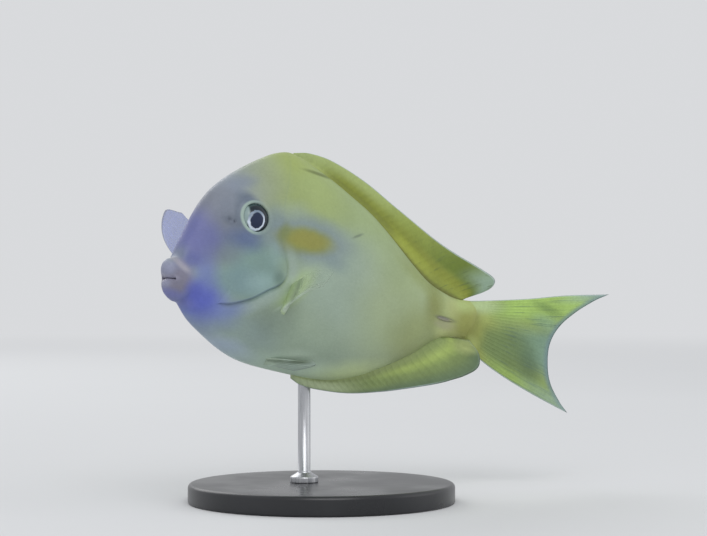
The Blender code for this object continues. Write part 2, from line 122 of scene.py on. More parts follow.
# Fins. An edge is (share along the fin, s, z), a tip of the pectoral (share, back, out, up)
# from its root and a tip of the pelvic (share, s, z, out).
DORSAL_BASE = (30.4, 93.6)
DORSAL_EDGE = [(0, 31.2, 39.0), (0.06, 36, 40.1), (0.15, 43.5, 40.0), (0.3, 55.5, 37.4),
               (0.45, 67.5, 33.2), (0.6, 79, 29.4), (0.75, 91, 26.0), (0.87, 100.8, 23.2),
               (0.93, 104.2, 21.4), (0.97, 102.8, 18.6), (1, 97.6, 15.9)]
DORSAL_LAG = 2.2
DORSAL_GRID = (33, 34)
ANAL_BASE = (41.6, 89.0)
ANAL_EDGE = [(0, 41.9, -16.8), (0.05, 45, -17.8), (0.12, 50, -18.1), (0.3, 61, -17.3),
             (0.5, 72.5, -14.9), (0.65, 79.9, -12.8), (0.78, 88.4, -10.1),
             (0.86, 92.9, -8.3), (0.92, 97.4, -6.0), (0.96, 100.6, -3.1), (0.98, 100.2, 0.2),
             (1, 96.6, 3.4)]
ANAL_LAG = -3.0
ANAL_GRID = (25, 26)
FIN_LAG_FROM = 70.0
FIN_SINK = 0.5
TAIL_FORK = [(0, 138.8, 24.2), (0.07, 134.5, 21.6), (0.2, 129, 17.2), (0.35, 124.6, 12.2),
             (0.5, 122.6, 7), (0.65, 123, 1.2), (0.8, 124.8, -3.6), (0.92, 128.4, -7.9),
             (1, 131.2, -10.3)]
TAIL_BEND = [(0, 106, 16.0), (0.5, 108, 8), (1, 103, -3.5)]
TAIL_GRID = (22, 56)
PECTORAL_ROOT = ((31.2, 4.8), (29.4, -3.2))
PECTORAL_TIPS = {
    "left": [(0, -8.0, 21.5, 2.6), (0.25, -6.0, 22.0, 4.6), (0.6, -1.5, 17.5, 7.4), (1, 2.2, 11.6, 8.0)],
    "right": [(0, -9.4, 21.0, 17.2), (0.3, -13.4, 22.4, 19.0), (0.65, -12.4, 21.0, 13.8),
              (1, -5.0, 13.0, 6.5)],
}
PECTORAL_BOWS = {"left": (-0.7, 0, 1.0), "right": (0.5, 0, -0.5)}
PECTORAL_GRID = (15, 36)
PELVIC_ROOT = ((30.2, -13.5), (30.9, -15.1))
PELVIC_TIPS = [(0, 42.4, -12.1, 1.6), (0.3, 43.2, -13.0, 1.8), (1, 39.6, -15.2, 0.9)]
PELVIC_GRID = (6, 30)

BLADE_FROM = 84.3
BLADE_TO = 90.8
BLADE_Z = 7.3
BLADE_PLUMP = 0.46
BLADE_SINK = 0.06

BASE_RADIUS = 34.0
BASE_THICK = 5.0
BASE_LOW_ROUND = 0.6
BASE_TOP_ROUND = 1.1
FOOT_RISE = 0.4
ROD_RADIUS = 1.6
ROD_S = 49.0
ROD_Y = 3.4
ROD_TOP = 37.5
FERRULE_RADIUS = 3.6
FERRULE_HEIGHT = 3.0

WET_SPECULAR = 0.25
SKY = (0.96, 0.975, 1.0)
SKY_STRENGTH = 0.72
FLOOR_FADE = (0.5, 1.45)
LIGHT_SIZE = 0.8
LIGHTS_AIM = (0, 0, 0.06)
VIEW_CENTRE = Vector((10.62, 0, 59.645)) * MM
VIEW_DISTANCE = 0.55
VIEW_TURN = math.radians(-40)

SIDES = {"left": -1, "right": 1}


def along(points, x, column=1):
    """Smooth curve through points whose first number rises, read at x."""
    if x <= points[0][0]:
        return points[0][column]
    if x >= points[-1][0]:
        return points[-1][column]
    i = next(k for k in range(1, len(points)) if points[k][0] >= x)

    def slope(k):
        low, high = max(k - 1, 0), min(k + 1, len(points) - 1)
        return (points[high][column] - points[low][column]) / (points[high][0] - points[low][0])

    x0, x1 = points[i - 1][0], points[i][0]
    t = (x - x0) / (x1 - x0)
    a, b = points[i - 1][column], points[i][column]
    rise = (slope(i - 1) * (x1 - x0), slope(i) * (x1 - x0))
    return ((2 * t**3 - 3 * t**2 + 1) * a + (t**3 - 2 * t**2 + t) * rise[0]
            + (3 * t**2 - 2 * t**3) * b + (t**3 - t**2) * rise[1])


def tabled(points, column=1, pieces=1500):
    """The same curve, read quickly from a fine table."""
    low, high = points[0][0], points[-1][0]
    table = [along(points, low + (high - low) * k / pieces, column) for k in range(pieces + 1)]

    def read(x):
        t = min(max((x - low) / (high - low), 0.0), 1.0) * pieces
        k = min(int(t), pieces - 1)
        return table[k] + (table[k + 1] - table[k]) * (t - k)
    return read


back_z = tabled(BACK)
breast_z = tabled(BREAST)
half_width = tabled(HALF_WIDTH)
widest_at = tabled(WIDEST_AT)
lean_at = tabled(LEAN)


def eased(t):
    """Goes smoothly from 0 to 1 as t does."""
    t = min(max(t, 0.0), 1.0)
    return t * t * (3 - 2 * t)


def bell(x, width):
    return math.exp(-((x / width) ** 2))


def place(point):
    """A point of the fish's own frame, bent, tipped and set over the base, in metres."""
    s, y, z = point
    radius = (SWING_TO - SWING_FROM) / TAIL_SWING
    angle = min(max(s - SWING_FROM, 0) / radius, TAIL_SWING)
    beyond = max(s - SWING_TO, 0)
    back = min(s, SWING_FROM) + radius * math.sin(angle) + beyond * math.cos(angle) + y * math.sin(angle)
    side = -radius * (1 - math.cos(angle)) - beyond * math.sin(angle) + y * math.cos(angle)
    x = SNOUT_X + back * math.cos(NOSE_UP) + z * math.sin(NOSE_UP)
    height = SNOUT_Z - back * math.sin(NOSE_UP) + z * math.cos(NOSE_UP)
    return Vector((x, side, height)) * MM


def flank(s, z):
    """Half the body's width at a point of its side view."""
    level = widest_at(s)
    reach = (back_z(s) - level) if z > level else (level - breast_z(s))
    share = min(abs(z - level) / reach, 1.0)
    return half_width(s) * math.sqrt(1 - share * share) ** FLANK_SHAPE


def outward(s, z, side):
    """The way out of the flank."""
    step = 0.4
    forward = (flank(s + step, z) - flank(s - step, z)) / (2 * step)
    upward = (flank(s, z + step) - flank(s, z - step)) / (2 * step)
    return Vector((-forward, side, -upward)).normalized()


def on_flank(s, z, side, lift=0.0):
    """A point of the flank, lifted square off the skin."""
    return Vector((s, side * flank(s, z), z)) + outward(s, z, side) * lift


def gill_point(t):
    numbered = [(k, *p) for k, p in enumerate(GILL_LINE)]
    x = t * (len(GILL_LINE) - 1)
    return Vector((along(numbered, x, 1), along(numbered, x, 2)))


GILL_POINTS = [gill_point(k / GILL_PIECES) for k in range(GILL_PIECES + 1)]


def off_gill(s, z):
    """Distance from the gill opening's line, plus behind it and minus ahead of it."""
    best, far = 0, math.inf
    for k in range(0, GILL_PIECES + 1, GILL_STRIDE):
        p = GILL_POINTS[k]
        d = (s - p.x) ** 2 + (z - p.y) ** 2
        if d < far:
            best, far = k, d
    if far > GILL_FAR_SQUARED:
        return GILL_FAR if s > GILL_POINTS[best].x else -GILL_FAR
    near, side = math.inf, 1
    for k in range(max(best - GILL_STRIDE, 0), min(best + GILL_STRIDE, GILL_PIECES)):
        a, b = GILL_POINTS[k], GILL_POINTS[k + 1]
        run = b - a
        t = min(max(((s - a.x) * run.x + (z - a.y) * run.y) / run.length_squared, 0), 1)
        d = math.hypot(s - a.x - run.x * t, z - a.y - run.y * t)
        if d < near:
            near = d
            side = 1 if run.x * (z - a.y) - run.y * (s - a.x) > 0 else -1
    return side * min(near, GILL_FAR)


# Meshes

def mapped(shape, point_and_own):
    """Moves every vertex to the point of the fish that point_and_own gives for its place, and
    keeps that point and the piece's own three numbers."""
    in_fish = shape.verts.layers.float_vector.new("in_fish")
    on_piece = shape.verts.layers.float_vector.new("on_piece")
    for vert in shape.verts:
        point, own = point_and_own(vert.co)
        vert[in_fish] = point
        vert[on_piece] = own
        vert.co = place(point)
    return shape


def sheet(grid, point_at, own_at):
    """A grid of columns and rows, mapped by point_at(u, v)."""
    shape = bmesh.new()
    bmesh.ops.create_grid(shape, x_segments=grid[0], y_segments=grid[1], size=0.5)

    def point_and_own(co):
        u, v = co.x + 0.5, co.y + 0.5
        point = point_at(u, v)
        return point, own_at(u, v, point)
    mapped(shape, point_and_own)
    bmesh.ops.remove_doubles(shape, verts=shape.verts, dist=WELD)
    return shape


def ball(around, upward, point_and_own):
    shape = bmesh.new()
    bmesh.ops.create_uvsphere(shape, u_segments=around, v_segments=upward, radius=1.0)
    return mapped(shape, point_and_own)


def linked(name, data):
    made = bpy.data.objects.new(name, data)
    bpy.context.scene.collection.objects.link(made)
    return made


def finished(name, shape, finish):
    """An object with smooth faces and one material."""
    for face in shape.faces:
        face.smooth = True
    mesh = bpy.data.meshes.new(name)
    shape.to_mesh(mesh)
    shape.free()
    mesh.materials.append(finish)
    return linked(name, mesh)


def closed_object(name, shape, finish):
    """Closes what is open, turns the faces outwards and makes the piece."""
    open_edges = [e for e in shape.edges if e.is_boundary]
    if open_edges:
        bmesh.ops.holes_fill(shape, edges=open_edges, sides=0)
    bmesh.ops.recalc_face_normals(shape, faces=shape.faces)
    if shape.calc_volume(signed=True) < 0:
        bmesh.ops.reverse_faces(shape, faces=shape.faces)
    piece = finished(name, shape, finish)
    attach(piece, "root")
    return piece


# Body

def skin_offset(s, z):
    """How far the finished skin stands off the plain flank: the eye socket and the swell round it,
    cheek, nostrils and the groove of the tail blade."""
    r = math.hypot((s - EYE_S) / EYE_NARROW, z - EYE_Z)
    lift = -SOCKET_DEPTH * (1 - eased((r - 2.6) / 1.5)) + 0.16 * bell(r - 5.6, 1.4)
    lift += 0.22 * bell(math.hypot((s - 15.5) / 6.5, (z - 4.8) / 4.6), 1)
    for ns, nz, radius in NOSTRILS:
        lift -= 0.5 * (1 - eased(math.hypot(s - ns, z - nz) / (radius * 1.5)))
    if BLADE_FROM - 1.5 < s < BLADE_TO + 1.5:
        slot = eased((s - BLADE_FROM + 0.9) / 1.0) * (1 - eased((s - BLADE_TO) / 0.9))
        lift -= 0.08 * slot * bell(z - BLADE_Z, 0.85)
    return lift


def gill_offset(s, z):
    """The shallow trench behind the gill cover."""
    if not 10 < s < 32:
        return 0.0
    return -0.22 * bell(off_gill(s, z) - 0.55, 0.75) * (1 - eased((z - 9) / 6)) * eased((s - 10) / 5)


def body_point(station, up, out):
    """A point of the ring round the body at a station, plain."""
    lean = lean_at(station)
    wrap = LIP_WRAP * (1 - eased((station - LIP_BACK) / (WRAP_GONE_AT - LIP_BACK)))
    top_s, foot_s = station - lean, station + lean
    share = (1 + up) / 2
    s = foot_s + (top_s - foot_s) * share + wrap * 4 * share * (1 - share)
    z = breast_z(foot_s) + (back_z(top_s) - breast_z(foot_s)) * share
    half = flank(s, z) if abs(out) > 1e-6 else 0.0
    return Vector((s, math.copysign(half, out), z))


def lip_points(up, out):
    """The points of the rings from the mouth's slit to the head, one way round."""
    points = [Vector((depth - LIP_LEAN * high * up + corner * out * out, wide * out, MOUTH_Z + high * up))
              for depth, wide, high, corner in LIP_RINGS]
    return points + [body_point(LIP_BACK + RING_STEP * k, up, out) for k in range(3)]


def through(rings, x):
    """Catmull-Rom through a list of points."""
    k = min(int(x), len(rings) - 3)
    t = x - k
    a, b, c, d = rings[max(k - 1, 0)], rings[k], rings[k + 1], rings[k + 2]
    return 0.5 * (2 * b + (c - a) * t + (2 * a - 5 * b + 4 * c - d) * t * t
                  + (3 * b - a - 3 * c + d) * t**3)


def skin_surface():
    """The whole skin in one sheet: u goes round, v from the mouth's slit to the tail."""
    lips = {}
    middle = (back_z(BODY_END) + breast_z(BODY_END)) / 2

    def lip_point(u, v, up, out):
        key = round(u % 1.0, 5)
        if key not in lips:
            lips[key] = lip_points(up, out)
        point = through(lips[key], (len(LIP_RINGS) + 1) * v / LIP_SHARE)
        if v == 0:
            point.z = MOUTH_Z
        return point

    def sheath_point(v, up, out):
        t = (v - SHEATH_SHARE) / (1 - SHEATH_SHARE)
        point = body_point(BODY_END, up, out)
        point.x += SHEATH_LENGTH * t
        point.y *= 1.03 * (1 - eased(t)) ** 0.8
        point.z = middle + (point.z - middle) * (1 - 0.02 * t)
        return point

    def point_at(u, v):
        angle = math.pi / 2 + 2 * math.pi * (u % 1.0)
        up, out = math.sin(angle), math.cos(angle)
        if abs(out) < 1e-9:
            out = 0.0
        if v < LIP_SHARE:
            return lip_point(u, v, up, out)
        if v >= SHEATH_SHARE:
            return sheath_point(v, up, out)
        if v < HEAD_SHARE:
            station = HEAD_FROM + (HEAD_END - HEAD_FROM) * (v - LIP_SHARE) / (HEAD_SHARE - LIP_SHARE)
        else:
            station = HEAD_END + (BODY_END - HEAD_END) * (v - HEAD_SHARE) / (SHEATH_SHARE - HEAD_SHARE)
        point = body_point(station, up, out)
        lift = skin_offset(point.x, point.z) + gill_offset(point.x, point.z)
        if point.y and abs(lift) > 1e-4:
            fade = min(abs(point.y) / 1.2, 1.0)
            point += outward(point.x, point.z, math.copysign(1, point.y)) * lift * fade
        return point

    def own_at(u, v, point):
        return (off_gill(point.x, point.z) if point.x < 45 else GILL_FAR, 0.0, 0.0)
    return sheet(SKIN_GRID, point_at, own_at)


def gill_cover(side):
    """The raised rear edge of the gill cover, rolled over the skin behind it: v runs over its
    top, round the edge and back below."""
    def point_at(u, v):
        t = COVER_FROM + (COVER_TO - COVER_FROM) * u
        edge = gill_point(t)
        fade = eased((t - COVER_FROM) / 0.12) * eased((COVER_TO - t) / 0.09)
        inward = max(1 - v / COVER_TOP, 0) ** 1.5
        inward += max((v - COVER_ROLLED) / (1 - COVER_ROLLED), 0) ** 1.2
        turn = math.pi * min(max((v - COVER_TOP) / (COVER_ROLLED - COVER_TOP), 0), 1)
        spot = edge.lerp(COVER_HUB, 0.62 * inward)
        lift = GILL_COVER_RAISE * fade * bell((spot - edge).length, 3.6)
        lift -= 0.05 * inward + 0.35 * (1 - fade)
        lift -= (0.5 - 0.5 * math.cos(turn)) * fade * 0.62 * (1 - inward) ** 0.6
        spot += (edge - COVER_HUB).normalized() * 0.2 * math.sin(turn) * fade
        return on_flank(spot.x, spot.y, side, lift + skin_offset(spot.x, spot.y))

    def own_at(u, v, point):
        if v < 0.6:
            return (off_gill(point.x, point.z), 0.0, 0.0)
        return (0.0 if v < COVER_TOP else 0.8, 0.0, 0.0)
    return sheet(COVER_GRID, point_at, own_at)


def eye_rim(side):
    """The fold of skin round the eye."""
    rings = [Vector((r, h, 0)) for r, h in RIM_PROFILE + RIM_PROFILE[-1:]]

    def point_at(u, v):
        r, lift, _ = through(rings, v * (len(RIM_PROFILE) - 1))
        angle = 2 * math.pi * (u % 1.0)
        return on_flank(EYE_S + r * EYE_NARROW * math.cos(angle), EYE_Z + r * math.sin(angle), side, lift)

    def own_at(u, v, point):
        return (off_gill(point.x, point.z), 0.0, 0.0)
    return sheet(RIM_GRID, point_at, own_at)


def eyeball(side):
    """The ball of the eye, with a low dome over the pupil. Its own numbers are how far back and
    up a point lies from the ball's middle."""
    axis = outward(EYE_S, EYE_Z, side)
    centre = on_flank(EYE_S, EYE_Z, side, -EYE_SINK)
    facing = axis.to_track_quat("Z", "Y").to_matrix()
    wide = EYE_RADIUS - 0.15

    def point_and_own(co):
        r = math.hypot(co.x, co.y)
        dome = -0.12 + 0.2 * (1 - eased((r * EYE_RADIUS - 1.2) / 2.0)) if co.z > 0 else 0
        from_centre = facing @ Vector((co.x * wide, co.y * wide, co.z * EYE_DEPTH + dome))
        return centre + from_centre, (from_centre.x, from_centre.z, 0.0)
    return ball(96, 64, point_and_own)


def blade_shape(side):
    """The folded blade on the tail stalk, point forward. Its own numbers are the share along it
    and the height on it."""
    def point_and_own(co):
        t = (co.z + 1) / 2
        r = math.hypot(co.x, co.y)
        body = math.sin(math.pi * min(max(t, 0.0), 1.0) ** 0.72) ** 0.75
        plump = BLADE_PLUMP * body / r if r > 1e-6 else 0
        high, out = plump * co.x, plump * co.y
        point = on_flank(BLADE_FROM + (BLADE_TO - BLADE_FROM) * t, BLADE_Z + high, side, out - BLADE_SINK)
        return point, (t, high, 0.0)
    return ball(32, 32, point_and_own)


# Fins

def fin_sheet(surface, half, grid, columns_a_ray=8, ridge=0.08, start=0.0):
    """A thin closed fin. v runs out on one face and back on the other, so the edge is whole. Its
    own numbers are the ray, the share from root to edge and the share along the fin."""
    rays, rows = grid
    step = 0.003

    def ridged(u, v):
        x = (u * rays) % 1.0 - 0.5
        branch = 0.17 * eased((v - 0.35) / 0.4)
        lines = bell(x - branch, 0.13) + bell(x + branch, 0.13)
        return ridge * min(lines, 1.0) * (1 - v) ** 0.4 * eased((v - start) / 0.15)

    def point_at(u, v):
        out = 1 - abs(2 * v - 1)
        face = -1 if v > 0.5 else 1
        across = surface(min(u + step, 1), out) - surface(max(u - step, 0), out)
        away = surface(u, min(out + step, 1)) - surface(u, max(out - step, 0))
        edge = min(eased(min(u, 1 - u) * rays * 1.5), eased((1 - out) * rows * 0.22) ** 0.5)
        thick = (half(u, out) + ridged(u, out)) * edge
        return surface(u, out) + across.cross(away).normalized() * thick * face

    def own_at(u, v, point):
        return (u * rays, 1 - abs(2 * v - 1), u)
    return sheet((rays * columns_a_ray, 2 * rows), point_at, own_at)


def tapering(root, edge, sweep=0.35):
    def half(u, v):
        return edge + (root - edge) * (1 - eased(v / sweep))
    return half


def between(ends, share):
    """The point (s, z) at a share of the way from one end to the other."""
    (s0, z0), (s1, z1) = ends
    return Vector((s0 + (s1 - s0) * share, z0 + (z1 - z0) * share))


def long_fin(base, edge, lag, profile, sink, grid):
    """The dorsal or anal fin, its foot inside the body."""
    edge_s, edge_z = tabled(edge, 1), tabled(edge, 2)

    def surface(u, v):
        s = base[0] + (base[1] - base[0]) * u
        foot = Vector((s, 0, profile(s) - sink))
        point = foot.lerp(Vector((edge_s(u), 0, edge_z(u))), v)
        trail = eased((point.x - FIN_LAG_FROM) / (edge[-3][1] - FIN_LAG_FROM))
        point.y = lag * trail * v
        return point
    return fin_sheet(surface, tapering(0.95, 0.13), grid, ridge=0.075)


def tail_sheet():
    """The forked tail fin, whole, its root inside the stalk's sheath."""
    top, foot = back_z(BODY_END), breast_z(BODY_END)
    fork_s, fork_z = tabled(TAIL_FORK, 1), tabled(TAIL_FORK, 2)
    bend_s, bend_z = tabled(TAIL_BEND, 1), tabled(TAIL_BEND, 2)
    stalk = half_width(BODY_END)

    def surface(u, v):
        root = Vector((BODY_END + 0.1, 0, top + (foot - top) * u))
        bend = Vector((bend_s(u), 0, bend_z(u)))
        bulge = 0.8 * bell(v - 0.75, 0.18) * (1 - eased(u / 0.14))
        tip = Vector((fork_s(u), 0, fork_z(u) + bulge))
        return root * (1 - v) ** 2 + bend * 2 * v * (1 - v) + tip * v * v

    def half(u, v):
        meet = stalk * math.sqrt(max(1 - (2 * u - 1) ** 2, 0.0)) ** FLANK_SHAPE
        thin = 0.13 + 0.27 * (1 - eased(v / 0.35))
        return thin + max(meet - 0.4, 0) * (1 - eased(v / 0.3))
    return fin_sheet(surface, half, TAIL_GRID, start=0.2)


def pectoral_sheet(side, tips, bow):
    reaches = [tabled(tips, column, 300) for column in (1, 2, 3)]

    def surface(u, v):
        s, z = between(PECTORAL_ROOT, u)
        root = Vector((s, side * (flank(s, z) - 0.5), z))
        reach = Vector([read(u) for read in reaches])
        reach.y = side * (reach.y + 0.8)
        return root + reach * v + Vector(bow) * (4 * v * (1 - v))
    return fin_sheet(surface, tapering(0.75, 0.07, 0.3), PECTORAL_GRID)


def pelvic_sheet(side):
    tips = [tabled(PELVIC_TIPS, column, 200) for column in (1, 2, 3)]

    def surface(u, v):
        tip_s, tip_z, tip_out = (read(u) for read in tips)
        s, z = between(PELVIC_ROOT, u).lerp(Vector((tip_s, tip_z)), v)
        off = -0.25 + 1.1 * eased(v / 0.25) + tip_out * v * v
        return Vector((s, side * (flank(s, z) + off), z))
    return fin_sheet(surface, tapering(0.34, 0.1), PELVIC_GRID, columns_a_ray=10, ridge=0.12)


# Turned parts

def turned(profile, centre, steps):
    """A solid turned about an upright axis from (radius, height) points in millimetres."""
    shape = bmesh.new()
    verts = [shape.verts.new(Vector((r, 0, z)) * MM) for r, z in profile]
    edges = [shape.edges.new(pair) for pair in zip(verts, verts[1:])]
    bmesh.ops.spin(shape, geom=verts + edges, cent=(0, 0, 0), axis=(0, 0, 1),
                   angle=2 * math.pi, steps=steps, use_merge=True)
    bmesh.ops.remove_doubles(shape, verts=shape.verts, dist=1e-7)
    bmesh.ops.translate(shape, vec=Vector(centre) * MM, verts=shape.verts)
    return shape


def arc(centre, radius, start, end, steps):
    """Points round a bend, angles in degrees."""
    points = []
    for k in range(steps + 1):
        a = math.radians(start + (end - start) * k / steps)
        points.append((centre[0] + radius * math.cos(a), centre[1] + radius * math.sin(a)))
    return points


# Materials

def linear(part):
    """One part of a colour, 0 to 255 as it looks, in the linear number that the shader takes."""
    part /= 255
    return part / 12.92 if part <= 0.04045 else ((part + 0.055) / 1.055) ** 2.4


def colour(red, green, blue):
    return (linear(red), linear(green), linear(blue), 1.0)


class Wiring:
    """Puts nodes into a tree and joins them."""

    def __init__(self, tree, shader=None):
        self.tree, self.shader = tree, shader

    def node(self, kind, **settings):
        made = self.tree.nodes.new(kind)
        for key, value in settings.items():
            setattr(made, key, value)
        return made

    def feed(self, socket, value):
        if isinstance(value, bpy.types.NodeSocket):
            self.tree.links.new(value, socket)
        else:
            socket.default_value = value

    def give(self, node, **values):
        """Feeds a node's inputs, named with _ for each space."""
        for name, value in values.items():
            self.feed(node.inputs[name.replace("_", " ")], value)
        return node.outputs

    def shade(self, **values):
        self.give(self.shader, **values)

    def math(self, operation, first, second=0.0):
        made = self.node("ShaderNodeMath", operation=operation)
        self.feed(made.inputs[0], first)
        self.feed(made.inputs[1], second)
        return made.outputs[0]

    def times(self, *masks):
        product = masks[0]
        for mask in masks[1:]:
            product = self.math("MULTIPLY", product, mask)
        return product

    def vector(self, operation, first, second=(0, 0, 0)):
        made = self.node("ShaderNodeVectorMath", operation=operation)
        self.feed(made.inputs[0], first)
        self.feed(made.inputs[1], second)
        return made.outputs["Value" if operation == "LENGTH" else "Vector"]

    def scaled(self, vector, by):
        made = self.node("ShaderNodeVectorMath", operation="SCALE")
        self.feed(made.inputs[0], vector)
        return self.give(made, Scale=by)[0]

    def rise(self, value, low, high, start=0.0, end=1.0, soft=True):
        """From start to end as value goes from low to high."""
        made = self.node("ShaderNodeMapRange", interpolation_type="SMOOTHSTEP" if soft else "LINEAR")
        for socket, given in zip(made.inputs, (value, low, high, start, end)):
            self.feed(socket, given)
        return made.outputs[0]

    def band(self, value, start, full, still, end):
        """Rises to 1 from start to full, and falls to 0 from still to end."""
        return self.times(self.rise(value, start, full), self.rise(value, still, end, 1.0, 0.0))

    def mix(self, mask, under, over):
        made = self.node("ShaderNodeMix", data_type="RGBA")
        for place_in, value in ((0, mask), (6, under), (7, over)):
            self.feed(made.inputs[place_in], value)
        return made.outputs[2]

    def lay(self, laid, *layers):
        """Lays tints over a colour, one after another. A layer is a tint and the masks that are
        multiplied for it: a socket, a number or the terms of a rise."""
        if isinstance(laid, tuple):
            laid = colour(*laid)
        for tint, *masks in layers:
            masks = [self.rise(*mask) if isinstance(mask, tuple) else mask for mask in masks]
            laid = self.mix(self.times(*masks), laid, colour(*tint))
        return laid

    def attribute(self, name):
        return self.node("ShaderNodeAttribute", attribute_name=name).outputs["Vector"]

    def parts(self, vector):
        return self.give(self.node("ShaderNodeSeparateXYZ"), Vector=vector)

    def joined(self, x=0.0, y=0.0, z=0.0):
        return self.give(self.node("ShaderNodeCombineXYZ"), X=x, Y=y, Z=z)[0]

    def noise(self, at, scale, detail=3.0, rough=0.5):
        return self.give(self.node("ShaderNodeTexNoise"), Vector=at, Scale=scale, Detail=detail,
                         Roughness=rough)

    def bump(self, height, strength, distance):
        return self.give(self.node("ShaderNodeBump"), Height=height, Strength=strength,
                         Distance=distance)[0]

    def use(self, group, **values):
        return self.give(self.node("ShaderNodeGroup", node_tree=group), **values)


def new_group(name, inputs, outputs):
    """A shader node group with the named sockets: inputs as (name, kind, default), outputs as
    (name, kind)."""
    tree = bpy.data.node_groups.new(name, "ShaderNodeTree")
    for label, kind, default in inputs:
        socket = tree.interface.new_socket(name=label, in_out="INPUT", socket_type="NodeSocket" + kind)
        socket.default_value = default
    for label, kind in outputs:
        tree.interface.new_socket(name=label, in_out="OUTPUT", socket_type="NodeSocket" + kind)
    wire = Wiring(tree)
    given = wire.node("NodeGroupInput").outputs
    put = wire.node("NodeGroupOutput").inputs
    return tree, wire, given, put


def make_wash():
    """A soft-edged patch of colour, an ellipse in the fish's side view."""
    tree, wire, given, put = new_group(
        "wash of colour",
        [("At", "Vector", (0, 0, 0)), ("Under", "Color", (0, 0, 0, 1)), ("Over", "Color", (0, 0, 0, 1)),
         ("Centre", "Vector", (0, 0, 0)), ("Reach", "Vector", (1, 1, 1)), ("Tilt", "Float", 0.0),
         ("Softness", "Float", 0.5), ("Strength", "Float", 1.0)],
        [("Color", "Color")])
    turned_to = wire.give(wire.node("ShaderNodeVectorRotate", rotation_type="Y_AXIS"),
                          Vector=wire.vector("SUBTRACT", given["At"], given["Centre"]),
                          Angle=given["Tilt"])[0]
    flat = wire.vector("MULTIPLY", turned_to, (1, 0, 1))
    away = wire.vector("LENGTH", wire.vector("DIVIDE", flat, given["Reach"]))
    low = wire.math("SUBTRACT", 1.0, given["Softness"])
    high = wire.math("ADD", 1.0, given["Softness"])
    mask = wire.times(wire.rise(away, low, high, 1.0, 0.0), given["Strength"])
    wire.feed(put["Color"], wire.mix(mask, given["Under"], given["Over"]))
    return tree


def make_scales():
    """Fine close-set scales as a height and as a faint speckle."""
    tree, wire, given, put = new_group(
        "fine scales",
        [("At", "Vector", (0, 0, 0)), ("Size", "Float", 0.4)],
        [("Height", "Float"), ("Speckle", "Float")])
    size = given["Size"]
    packed = wire.vector("DIVIDE", given["At"], wire.joined(size, size, size))
    cells = wire.give(wire.node("ShaderNodeTexVoronoi", feature="F1"),
                      Vector=wire.vector("MULTIPLY", packed, (0.85, 0.7, 1.1)), Scale=1.0)
    wire.feed(put["Height"], wire.math("SUBTRACT", 1.0, cells["Distance"]))
    tint = wire.give(wire.node("ShaderNodeSeparateColor"), Color=cells["Color"])
    wire.feed(put["Speckle"], tint[0])
    return tree


def make_mottle():
    """Slow, soft unevenness of a living skin's colour, and a fine grain."""
    tree, wire, given, put = new_group(
        "soft mottling",
        [("At", "Vector", (0, 0, 0)), ("Color", "Color", (0, 0, 0, 1)), ("Amount", "Float", 0.1),
         ("Grain", "Float", 0.1)],
        [("Color", "Color")])

    def about_one(value, low, high, reach, soft):
        return wire.rise(value, low, high, wire.math("SUBTRACT", 1.0, reach),
                         wire.math("ADD", 1.0, reach), soft)

    broad = about_one(wire.noise(given["At"], 0.11)["Fac"], 0.3, 0.7, given["Amount"], True)
    fine = about_one(wire.noise(given["At"], 1.3, 4.0, 0.6)["Fac"], 0.25, 0.75, given["Grain"], False)
    wire.feed(put["Color"], wire.scaled(given["Color"], wire.times(broad, fine)))
    return tree


WASH = make_wash()
SCALES = make_scales()
MOTTLE = make_mottle()


def new_material(name):
    made = bpy.data.materials.new(name)
    made.use_nodes = True
    return Wiring(made.node_tree, made.node_tree.nodes["Principled BSDF"]), made


def washed(wire, at, laid, washes):
    """Lays washes over a colour, one after another. Each is a tint, its centre and half length
    and height as (s, z), its tilt in degrees, softness and strength."""
    for tint, (s, z), (long, tall), tilt, soft, strength in washes:
        laid = wire.use(WASH, At=at, Under=laid, Over=colour(*tint), Centre=(s, 0, z),
                        Reach=(long, 1, tall), Tilt=math.radians(tilt), Softness=soft,
                        Strength=strength)["Color"]
    return laid


